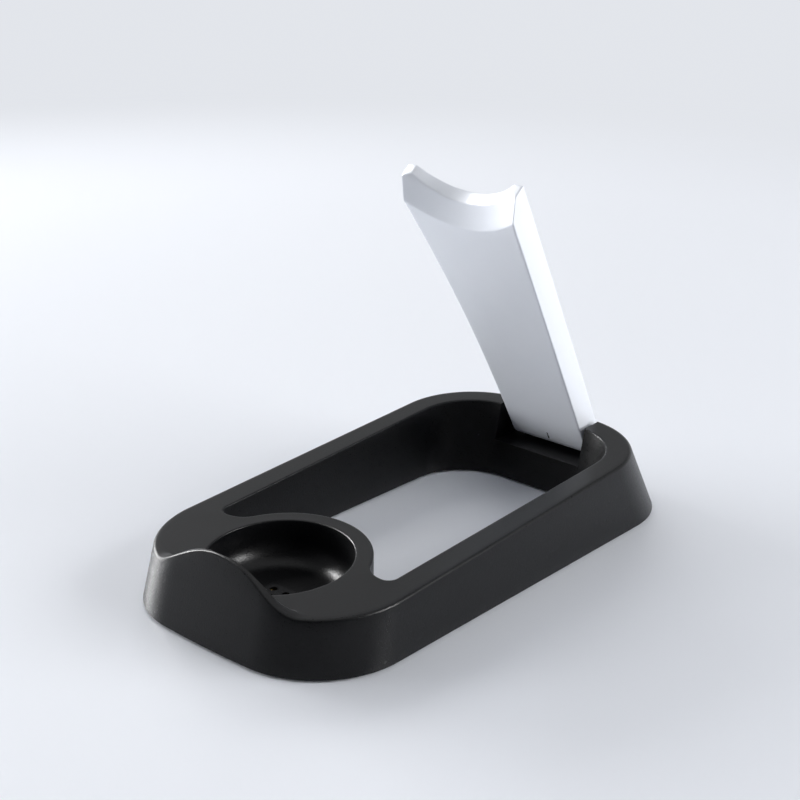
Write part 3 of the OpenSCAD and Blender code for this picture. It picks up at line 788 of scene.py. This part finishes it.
# %% [markdown]
# ## Columns and corners
#
# The arm is a row of side profiles from its left side to its right side. Each profile is a closed
# outline seen from the side: heel, round foot, front face, hollow, top and back. A column says
# how far out its profile stands, and the sides flare, so that distance changes with the height.
# One column follows the edge between the saddle and the horn's top, and one follows the rim
# round the back cover. A plain block with cuts would have no vertices along these edges, and the
# edges couldn't be rounded.

# %% The columns of the arm
SLIT_HALF_W = 0.25
SADDLE_U = 100.0  # below this height the saddle's edge comes in with the side
MAIN_SHARES = (0.12, 0.25, 0.38, 0.5, 0.62, 0.74, 0.86)
MIDWAY, COVER_EDGE, ARM_SIDE = 2, 3, 4  # the columns outside the saddle's edge


def column_x(column, u):
    """How far out a column is: 0 to 1 are shares of the way from the slit to the saddle's edge."""
    rim = half_width(u) - COVER_RIM
    crease = SADDLE_HALF_W * min(1.0, rim / (half_width(SADDLE_U) - COVER_RIM))
    if column <= 1:
        return SLIT_HALF_W + (crease - SLIT_HALF_W) * column
    return {MIDWAY: (crease + rim) / 2, COVER_EDGE: rim, ARM_SIDE: half_width(u)}[column]


right_columns = [0.0, *MAIN_SHARES, 1.0, MIDWAY, COVER_EDGE, ARM_SIDE]
columns = [(-1, c) for c in reversed(right_columns)] + [(1, c) for c in right_columns]
print(len(columns), "columns")


# %% The surfaces that end the arm at its top
def hollow_y(x):
    """The upright hollow that faces the shaver's body."""
    return TOP_Y - HOLLOW_R + sqrt(HOLLOW_R**2 - x * x)


def top_line_z(x, y):
    """Height of the saddle or the horn's top over a place."""
    dip = 0.0
    if abs(x) < SADDLE_HALF_W:
        dip = sqrt(SADDLE_R**2 - x * x) - (SADDLE_R - SADDLE_DEPTH)
    return TOP_Z + (y - TOP_Y) * tan(HORN_SLOPE) - dip / cos(HORN_SLOPE)


def crossing(f, low, high):
    """Where f changes sign between two values, by halving."""
    up = f(high) > 0
    for _ in range(40):
        mid = (low + high) / 2
        low, high = (low, mid) if (f(mid) > 0) == up else (mid, high)
    return (low + high) / 2


print("saddle's middle at z", round(top_line_z(0, TOP_Y), 2), "and horns at", TOP_Z)

# %% The parts of a profile, each as a line of (y, z)
FRONT_U = [0.0, 2.8, 4.6, 9.0, 16.0, 23.0, 30.0, 37.0, 44.0, 51.0, 58.0, 65.0, 72.0, 80.0, 88.0]
BACK_U = [COVER_HIGH] + FRONT_U[:2:-1] + [4.0, -1.0]
BARREL_STEPS, TO_HOLLOW, HOLLOW_STEPS, TOP_STEPS, TO_COVER = 8, 3, 6, 5, 3
HEEL_BETWEEN, HOLLOW_BELOW, HOLLOW_NEAR, TOP_BETWEEN = (-15.0, 5.0), 115.0, 105.0, (85.0, 140.0)


def foot_line():
    """The heel's two corners and the round foot."""
    heel_u = crossing(lambda u: arm_point(u, ARM_HALF_T)[1] - HEEL_Z, *HEEL_BETWEEN)
    line = [arm_point(heel_u, ARM_HALF_T), (HINGE_Y + HEEL_FRONT, HEEL_Z)]
    for b in (0.0, *quarter(BARREL_STEPS)[:-1]):
        down, front = BARREL_R * cos(b), BARREL_R * sin(b)
        y = HINGE_Y + down * sin(LEAN) - front * cos(LEAN)
        line.append((y, HINGE_Z - down * cos(LEAN) - front * sin(LEAN)))
    return line


def front_line(column):
    """Up the front face to the lower edge of the hollow."""
    start = FRONT_U[-1]
    end = crossing(
        lambda u: hollow_y(column_x(column, u)) - arm_point(u, -ARM_HALF_T)[0], start, HOLLOW_BELOW
    )
    last = [start + (end - start) * share for share in shares(TO_HOLLOW)]
    return [arm_point(u, -ARM_HALF_T) for u in FRONT_U + last]


def hollow_line(column, low):
    """Up the hollow, from the height low to the saddle or the horn's top."""

    def at_top(x):
        y = hollow_y(x)
        return column_x(column, arm_place(y, top_line_z(x, y))[0])

    x = settle(at_top, column_x(column, HOLLOW_NEAR))
    y = hollow_y(x)
    high = top_line_z(x, y)
    line = []
    for z in [low + (high - low) * share for share in shares(HOLLOW_STEPS)]:
        y = settle(lambda y: hollow_y(column_x(column, arm_place(y, z)[0])), y)
        line.append((y, z))
    return line


# %% The rest of a profile, and the whole of it
def top_line(column, start):
    """Over the saddle or the horn's top, from a (y, z) at its front to the back face."""

    def over(u):
        y, z = arm_point(u, ARM_HALF_T)
        return z - top_line_z(column_x(column, u), y)

    back_u = crossing(over, *TOP_BETWEEN)
    end_y = arm_point(back_u, ARM_HALF_T)[0]
    z = start[1]
    line = []
    for y in [start[0] + (end_y - start[0]) * share for share in shares(TOP_STEPS)]:
        z = settle(lambda z: top_line_z(column_x(column, arm_place(y, z)[0]), y), z)
        line.append((y, z))
    return line, back_u


def profile(side, column):
    """The closed side profile at a column, and the numbers at which its front and back start."""
    line = foot_line()
    marks = {"front": len(line)}
    line += front_line(column)
    line += hollow_line(column, line[-1][1])
    top, back_u = top_line(column, line[-1])
    line += top
    to_cover = [back_u + (COVER_HIGH - back_u) * share for share in shares(TO_COVER)[:-1]]
    marks["cover"] = len(line) + len(to_cover)
    line += [arm_point(u, ARM_HALF_T) for u in to_cover + BACK_U]
    points = [Vector((side * column_x(column, arm_place(y, z)[0]), y, z)) for y, z in line]
    return points, marks


profiles = [profile(*c) for c in columns]
marks = profiles[0][1]
print(len(columns), "columns of", len(profiles[0][0]), "points, starts at", marks)

# %% [markdown]
# ## The arm's skin
#
# The profiles are grown from left to right like the base's rows. The two sides are closed with
# strips between the front and the back, which keeps them smooth, and one face at each end. Then
# every sharp edge is rounded with the bevel operator, as the mould's own edges are. Here one
# radius fits all edges, so the operator does what the base needed rows for.

# %% The bar with its sides closed
SIDE_U = FRONT_U[3:]  # the heights at which the front and the back both have a vertex
arm = bmesh.new()
arm_rows = grow(arm, [points for points, _ in profiles])
front_side = [marks["front"] + FRONT_U.index(u) for u in SIDE_U]
back_side = [marks["cover"] + BACK_U.index(u) for u in SIDE_U]


def line_edges(bm, row, numbers):
    """The edges of a row between vertices with the given numbers."""
    return [bm.edges.get((row[a], row[b])) for a, b in zip(numbers, numbers[1:])]


def end_ring(cross, start, free):
    """A cross edge with the free edges that lead on from its start."""
    ring, todo = [cross], [start]
    while todo:
        v = todo.pop()
        for e in v.link_edges:
            if e in free and e not in ring:
                ring.append(e)
                todo.append(e.other_vert(v))
    return ring


for row in (arm_rows[0], arm_rows[-1]):
    joined = line_edges(arm, row, front_side) + line_edges(arm, row, back_side)
    bmesh.ops.bridge_loops(arm, edges=joined)
    free = set(row_edges(arm, row)) - set(joined)
    for a, b in ((front_side[0], back_side[0]), (front_side[-1], back_side[-1])):
        cross = arm.edges.get((row[a], row[b]))
        bmesh.ops.contextual_create(arm, geom=end_ring(cross, row[a], free))
bmesh.ops.recalc_face_normals(arm, faces=arm.faces)
print("open edges:", open_edges(arm))

# %% The rounded edges
ARM_EDGE_R, ROUNDED_FROM = 0.4, radians(24)
sharp = [e for e in arm.edges if e.is_manifold and e.calc_face_angle() > ROUNDED_FROM]
bmesh.ops.bevel(
    arm, geom=sharp, offset=ARM_EDGE_R, offset_type="OFFSET", affect="EDGES", segments=3,
    profile=0.5, material=-1, clamp_overlap=True,
)
print(len(sharp), "sharp edges rounded,", open_edges(arm), "open edges")

# %% [markdown]
# ## The pocket behind the cover, and the slit
#
# The back cover lies in a shallow recess, and behind it the arm is hollow, so that its wall is as
# thin as the rest of the moulding. The front face has a short slit at its foot. Each is a patch
# of faces that is extruded into the plastic. The columns and rows were laid out so that the
# patches end on them, and nothing has to be cut. The slit's faces get the black plastic instead
# of the silver, as painted shade for the dark inside of the slit.

# %% Sinking a patch of faces into the arm
ON_FACE = 0.05


def arm_patch(bm, depth, u0, u1, half_w):
    """The faces at a depth in the arm between two heights, within a half width."""
    found = []
    for f in bm.faces:
        c = f.calc_center_median()
        u, d = arm_place(c.y, c.z)
        if u0 < u < u1 and abs(c.x) < half_w(u) and abs(d - depth) < ON_FACE:
            found.append(f)
    return found


def sink(bm, faces, depth):
    """Extrudes a patch and moves it to a depth in the arm."""
    made = bmesh.ops.extrude_face_region(bm, geom=faces)["geom"]
    bmesh.ops.delete(bm, geom=faces, context="FACES")
    for v in (p for p in made if isinstance(p, bmesh.types.BMVert)):
        u, _ = arm_place(v.co.y, v.co.z)
        v.co.y, v.co.z = arm_point(u, depth)
    return [p for p in made if isinstance(p, bmesh.types.BMFace)]


# %% The recess, the hollow and the slit
HOLLOW_RIM, ARM_WALL, SLIT_DEPTH = 1.4, 1.8, 1.3
behind = arm_patch(arm, ARM_HALF_T, COVER_LOW, COVER_HIGH, lambda u: half_width(u) - COVER_RIM)
recess = sink(arm, behind, ARM_HALF_T - COVER_DEPTH)
bmesh.ops.inset_region(arm, faces=recess, thickness=HOLLOW_RIM, use_even_offset=True)
hollow = sink(arm, recess, -ARM_HALF_T + ARM_WALL)
narrow = arm_patch(arm, -ARM_HALF_T, FRONT_U[0], FRONT_U[1], lambda u: SLIT_HALF_W)
slit = sink(arm, narrow, -ARM_HALF_T + SLIT_DEPTH)
# painted shade: the slit's faces and those round it get the black plastic in place of the silver
for f in {g for f in slit for e in f.edges for g in e.link_faces}:
    f.material_index = 1  # as dark as the hollow behind it
print(len(recess), "faces in the recess,", len(hollow), "in the hollow,", len(slit), "in the slit")

# %% The finished arm
arm_shell = finish_piece(arm, "arm_shell", "arm")
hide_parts("arm_front_shell")

# %% [markdown]
# ## Materials
#
# Every finish here is a plastic or metal as it leaves its mould or machine. One small function
# adds a node with its settings and links, and one turns a colour that is written as on a screen
# into the light that Blender works with. All the finishes have the same build: two close colours
# that change in soft clouds, as the pigment or the plating does, and a fine grain that changes
# the gloss and raises the surface.

# %% Helpers for materials
def srgb(text):
    """A screen colour such as "7f7f7f" as linear light."""
    values = [int(text[i : i + 2], 16) / 255 for i in (0, 2, 4)]
    return (*[v / 12.92 if v <= 0.04045 else ((v + 0.055) / 1.055) ** 2.4 for v in values], 1.0)


def empty_tree(holder):
    """The node tree of a material or a world, without the nodes it comes with."""
    holder.use_nodes = True
    holder.node_tree.nodes.clear()
    return holder.node_tree


def add(tree, kind, inputs=None, **settings):
    """Adds a node. An input is given a value, or linked where the value is another's output."""
    made = tree.nodes.new(kind)
    for key, value in settings.items():
        setattr(made, key, value)
    for key, value in (inputs or {}).items():
        if isinstance(value, bpy.types.NodeSocket):
            tree.links.new(value, made.inputs[key])
        else:
            made.inputs[key].default_value = value
    return made


print("mid grey as linear light:", [round(v, 3) for v in srgb("7f7f7f")])

# %% A moulded or machined finish
NOISE_LOW, NOISE_HIGH = 0.3, 0.7  # nearly all of a noise's values lie between these
CLOUD_MM = 14.0


def material(
    name, colours, roughness, grain_mm, raised_mm, metallic=0.0, ior=1.5, specular=0.5
):
    """Two close colours in soft clouds, and a fine grain in the roughness and the bump."""
    made = bpy.data.materials.new(name)
    tree = empty_tree(made)
    place = add(tree, "ShaderNodeTexCoord").outputs["Object"]
    cloud = add(
        tree, "ShaderNodeTexNoise",
        {"Vector": place, "Scale": 1 / (CLOUD_MM * MM), "Detail": 3.0},
    ).outputs["Fac"]
    grain = add(
        tree, "ShaderNodeTexNoise",
        {"Vector": place, "Scale": 1 / (grain_mm * MM), "Detail": 2.0, "Roughness": 0.6},
    ).outputs["Fac"]
    tint = add(
        tree, "ShaderNodeMix",
        {"Factor": cloud, "A": srgb(colours[0]), "B": srgb(colours[1])}, data_type="RGBA",
    ).outputs["Result"]
    gloss = add(
        tree, "ShaderNodeMapRange",
        {
            "Value": grain, "From Min": NOISE_LOW, "From Max": NOISE_HIGH,
            "To Min": roughness[0], "To Max": roughness[1],
        },
    ).outputs["Result"]
    bump = add(
        tree, "ShaderNodeBump", {"Height": grain, "Distance": raised_mm * MM}
    ).outputs["Normal"]
    surface = add(
        tree, "ShaderNodeBsdfPrincipled",
        {
            "Base Color": tint, "Roughness": gloss, "Normal": bump, "Metallic": metallic,
            "IOR": ior, "Specular IOR Level": specular,
        },
    )
    add(tree, "ShaderNodeOutputMaterial", {"Surface": surface.outputs["BSDF"]})
    return made


# %% [markdown]
# ### Black ABS with a fine spark texture
#
# The base's walls are black ABS. Their mould was finished by spark erosion, which leaves a fine
# even grain: the surface looks satin, with soft bands of light on the rounded corners. The real
# grain is about 0.1 mm, too fine for this picture, so it is drawn at 0.45 mm. The deck's mould
# was polished finer, so the deck looks smooth and even. Its grain is drawn at 0.7 mm and is
# hardly raised, only enough to keep the gloss from looking like glass. Its colour is painted a
# shade lighter than the walls', as painted light for the sheen that the upward deck catches.

# %% Black ABS
black_abs = material(
    "black_abs_spark_textured", ("08080a", "0c0d0f"), (0.26, 0.42), 0.45, 0.05, specular=0.27
)
# the deck's colour is painted a shade lighter than the walls' as light; its smoother gloss is its
# own
black_deck_painted_lighter = material(
    "black_abs_smooth_satin_painted_lighter", ("0c0c0d", "101011"), (0.32, 0.38), 0.7, 0.001, specular=0.31
)
print([m.name for m in (black_abs, black_deck_painted_lighter)])

# %% [markdown]
# ### Silver ABS
#
# The arm is ABS filled with fine aluminium flakes, or sprayed with them. To the eye it is a light
# cool grey body with a soft sheen that is only a little metallic, so the finish is mostly
# plastic, and rather rough. Real flakes are about 0.02 mm, far too fine to show, so the grain is
# drawn at 0.5 mm and is hardly raised.

# %% Silver ABS
silver_abs = material(
    "silver_flake_abs_satin", ("e6eaf1", "ebeef4"), (0.42, 0.5), 0.5, 0.001, metallic=0.15
)
print(silver_abs.name)

# %% [markdown]
# ### The small parts
#
# The plate under the base is black ABS, matt and a shade lighter than the walls. The feet are
# rubber, the dullest of the blacks. Screws and pins are zinc-plated steel, which looks pale and
# bluish with a soft gloss. The contacts are turned brass and look warm and bright. The bushes
# are black acetal, a little glossy, like wax. The washer is steel with black oxide, dark but
# with a metal's gloss. The leads have smooth PVC insulation, blue and red to tell them apart.
# The real grain of all these is between 0.01 and 0.1 mm, too fine to show, so it is drawn at
# 0.25 to 0.6 mm.

# %% Finishes of the small parts
# name, two colours, roughness, grain and its height in mm, metallic, and IOR but for metals
FINISHES = {
    "plate_plastic": (
        "black_abs_matt_moulded", ("17181a", "1c1d20"), (0.5, 0.62), 0.5, 0.01, 0.0, 1.54
    ),
    "foot_rubber": (
        "black_rubber_moulded", ("0e0e0f", "171717"), (0.7, 0.85), 0.6, 0.03, 0.0, 1.52
    ),
    "screw_steel": ("zinc_plated_steel", ("a9adb2", "bcc0c4"), (0.25, 0.38), 0.3, 0.004, 1.0),
    "contact_brass": ("brass_turned", ("b99a52", "c8ab66"), (0.2, 0.32), 0.25, 0.003, 1.0),
    "bush_plastic": (
        "black_acetal_moulded", ("0b0b0c", "111112"), (0.35, 0.45), 0.5, 0.004, 0.0, 1.48
    ),
    "washer_steel": ("black_oxide_steel", ("141416", "1d1d20"), (0.35, 0.5), 0.3, 0.004, 1.0),
    "lead_blue": (
        "blue_pvc_insulation", ("1d3f86", "23488f"), (0.35, 0.48), 0.4, 0.004, 0.0, 1.53
    ),
    "lead_red": (
        "red_pvc_insulation", ("9c2620", "a82d26"), (0.35, 0.48), 0.4, 0.004, 0.0, 1.53
    ),
}
finishes = {"black_plastic": black_abs, "silver_plastic": silver_abs}
finishes |= {slot: material(*values) for slot, values in FINISHES.items()}
print(len(finishes), "finishes")

# %% Each node gets its finish
slots = {part["node"]: part["material_slot"] for part in frame["record"]["subparts"]}
for name, obj in frame["nodes"].items():
    for place in obj.material_slots:
        place.material = finishes[slots[name]]
    print(name, [place.material.name for place in obj.material_slots])
# the arm's black coat is painted shade in its slit; the base's deck coat has a colour painted
# lighter
for piece, coats in ((base_shell, (black_abs, black_deck_painted_lighter)), (arm_shell, (silver_abs, black_abs))):
    for coat in coats:
        piece.data.materials.append(coat)

# %% [markdown]
# ## Floor, light and camera
#
# The stand is on a pale blue-white sheet of smooth card. The card is a little glossy, so that it
# hands the image of a low lamp on to the black walls. Far from the stand it runs into the colour
# of the backdrop, on every path on which the camera sees it: straight, in a mirror or through
# glass. A sheet that bends up to a wall would do the same, but it would shade the stand from one
# side. The plane keeps the light free all round.

# %% The floor
FLOOR_SIZE, CARD_ROUGHNESS = 8, 0.3
FADE_FROM, FADE_TO = 0.46, 0.82  # distance from the stand, in metres
PALE, PALE_STRENGTH = "f1f4fa", 0.87  # the backdrop's colour
bpy.ops.mesh.primitive_plane_add(size=FLOOR_SIZE)
floor = bpy.context.object
floor.name = "floor"
paper = bpy.data.materials.new("pale_paper_sweep")
tree = empty_tree(paper)
sheet = add(
    tree, "ShaderNodeBsdfPrincipled",
    {"Base Color": srgb(PALE), "Roughness": CARD_ROUGHNESS},
)
place = add(tree, "ShaderNodeTexCoord").outputs["Object"]
away = add(tree, "ShaderNodeVectorMath", {0: place}, operation="LENGTH").outputs["Value"]
path = add(tree, "ShaderNodeLightPath")
seen = path.outputs["Is Camera Ray"]
for ray in ("Is Glossy Ray", "Is Transmission Ray"):
    both = add(tree, "ShaderNodeMath", {0: seen, 1: path.outputs[ray]}, operation="MAXIMUM")
    seen = both.outputs[0]
far = add(
    tree, "ShaderNodeMapRange",
    {"Value": away, "From Min": FADE_FROM, "From Max": FADE_TO},
    interpolation_type="SMOOTHSTEP",
)
fade = add(tree, "ShaderNodeMath", {0: far.outputs["Result"], 1: seen}, operation="MULTIPLY")
haze = add(tree, "ShaderNodeEmission", {"Color": srgb(PALE), "Strength": PALE_STRENGTH})
ground = add(
    tree, "ShaderNodeMixShader",
    {"Fac": fade.outputs[0], 1: sheet.outputs["BSDF"], 2: haze.outputs[0]},
)
add(tree, "ShaderNodeOutputMaterial", {"Surface": ground.outputs[0]})
floor.data.materials.append(paper)
print("floor", FLOOR_SIZE, "m wide, fades between", FADE_FROM, "and", FADE_TO, "m")

# %% [markdown]
# ### The surroundings
#
# The room is used in three ways. Seen straight or through glass it is the pale backdrop. In a
# mirror it is pale low behind the stand, and darker high up and on the camera's side, so that the
# deck gets its soft grey sheen and the front walls stay black. As a light it is a weak and even
# blue-white, which only lifts the shadows. A plain even world would be simpler, but it would make
# all the black walls look grey.

# %% The surroundings
TO_CAMERA = (0.66, -0.75, 0.0)
scene = bpy.context.scene
world = bpy.data.worlds.new("studio")
scene.world = world
tree = empty_tree(world)
place = add(tree, "ShaderNodeTexCoord").outputs["Generated"]
towards = add(tree, "ShaderNodeVectorMath", {0: place, 1: TO_CAMERA}, operation="DOT_PRODUCT")
dark = add(
    tree, "ShaderNodeMapRange",
    {
        "Value": towards.outputs["Value"], "From Min": -0.1, "From Max": 0.6,
        "To Min": 0.47, "To Max": 0.075,
    },
    interpolation_type="SMOOTHSTEP",
)
even = add(tree, "ShaderNodeBackground", {"Color": srgb("eef3ff"), "Strength": 0.136})
height = add(tree, "ShaderNodeSeparateXYZ", {"Vector": place}).outputs["Z"]
low = add(
    tree, "ShaderNodeMapRange",
    {"Value": height, "From Min": 0.12, "From Max": 0.34, "To Min": 2.1, "To Max": 1.0},
    interpolation_type="SMOOTHSTEP",
)
pale = add(
    tree, "ShaderNodeMath", {0: dark.outputs["Result"], 1: low.outputs["Result"]},
    operation="MULTIPLY",
)
room = add(tree, "ShaderNodeBackground", {"Color": srgb("f4f6fa"), "Strength": pale.outputs[0]})
wall = add(tree, "ShaderNodeBackground", {"Color": srgb(PALE), "Strength": PALE_STRENGTH})
path = add(tree, "ShaderNodeLightPath")
mirrored = add(
    tree, "ShaderNodeMixShader",
    {"Fac": path.outputs["Is Glossy Ray"], 1: even.outputs[0], 2: room.outputs[0]},
)
through = add(
    tree, "ShaderNodeMath",
    {0: path.outputs["Is Camera Ray"], 1: path.outputs["Is Transmission Ray"]},
    operation="MAXIMUM",
)
seen = add(
    tree, "ShaderNodeMixShader",
    {"Fac": through.outputs[0], 1: mirrored.outputs[0], 2: wall.outputs[0]},
)
add(tree, "ShaderNodeOutputWorld", {"Surface": seen.outputs[0]})
print("surroundings of", len(tree.nodes), "nodes")

# %% [markdown]
# ### The lights
#
# The lamps are large and soft. One behind on the left throws the soft shadow to the front and
# the right. A low one and a front one on the left light the arm's face. A large one on the right
# keeps its side bright and fills the shadow, and two weak ones stand high up. Most of them light
# the stand but aren't mirrored in it, because their images would lie on the black walls as
# patches. The last three are the reverse: they light nothing, and only their images are seen.
# One is, by way of the floor, the bright band on the left corner of the base. The other two are
# the two bright spots in the hollow foot of the cup, and the fine lines along the rims.

# %% The lights
BASE, CUP_FOOT = (0, 0, 0.03), (0, -0.05, 0.01)  # what most lamps aim at


def soft_light(name, place, aim, size, watts, mirrored=True, lights=True):
    """A rectangular lamp, which can light the stand, be mirrored in it, or both."""
    light = bpy.data.lights.new(name, "AREA")
    light.shape, light.size, light.size_y = "RECTANGLE", size[0], size[1]
    light.energy = watts
    lamp = bpy.data.objects.new(name, light)
    scene.collection.objects.link(lamp)
    lamp.location = place
    lamp.rotation_euler = (Vector(aim) - Vector(place)).to_track_quat("-Z", "Y").to_euler()
    lamp.visible_glossy, lamp.visible_diffuse = mirrored, lights
    return lamp


soft_light("key_left", (-1.6, 0.0, 1.3), BASE, (0.9, 0.7), 3.0)
soft_light("low_left", (-1.5, -0.29, 0.23), (0.3, -0.65, 0), (1.05, 0.42), 31.0, mirrored=False)
soft_light("front_left", (-1.05, -0.99, 0.35), BASE, (0.58, 0.46), 7.2, mirrored=False)
soft_light("fill_right", (1.2, 0.6, 0.5), (0, 0, 0.05), (1.2, 1.0), 21.5, mirrored=False)
soft_light("top", (0.1, 0.1, 1.8), (0, 0, 0), (1.6, 1.6), 3.6)
soft_light("back_left", (-1.3, 0.9, 0.9), BASE, (1.0, 0.7), 10.0, mirrored=False)
soft_light("glint_left", (-1.25, -0.15, 0.38), (0, -0.08, 0.02), (0.4, 0.35), 18.5, lights=False)
soft_light("spark_left", (-1.3, -0.1, 1.0), CUP_FOOT, (0.3, 0.3), 27.0, lights=False)
soft_light("spark_right", (1.2, 0.44, 0.8), CUP_FOOT, (0.3, 0.3), 17.0, lights=False)

# %% [markdown]
# ### The camera
#
# The camera looks from the front right, a little over 20 degrees down, through a lens of 70 mm on
# a 36 mm sensor, which keeps the long base from looking stretched. Such a place could be found by
# hand. This one comes from a fit to the measured edges of the base and the arm, so it is written
# as two angles, a slight roll and a place.

# %% The camera
AZIMUTH, ELEVATION, ROLL = radians(41.002), radians(20.718), radians(0.8)
CAMERA_PLACE = (0.28108, -0.33088, 0.21216)
LENS_MM, SENSOR_MM, NEAREST = 69.97, 36.0, 0.01
right = Vector((cos(AZIMUTH), sin(AZIMUTH), 0))
ahead = Vector(
    (-sin(AZIMUTH) * cos(ELEVATION), cos(AZIMUTH) * cos(ELEVATION), -sin(ELEVATION))
)
up = right.cross(ahead)
right, up = right * cos(ROLL) + up * sin(ROLL), up * cos(ROLL) - right * sin(ROLL)
lens = bpy.data.cameras.new("camera")
lens.lens, lens.sensor_width, lens.clip_start = LENS_MM, SENSOR_MM, NEAREST
camera = bpy.data.objects.new("camera", lens)
scene.collection.objects.link(camera)
camera.matrix_world = Matrix(
    [(right[i], up[i], -ahead[i], CAMERA_PLACE[i]) for i in range(3)] + [(0, 0, 0, 1)]
)
scene.camera = camera
scene.view_settings.view_transform = "Standard"
print("camera at", tuple(round(v, 4) for v in camera.location))
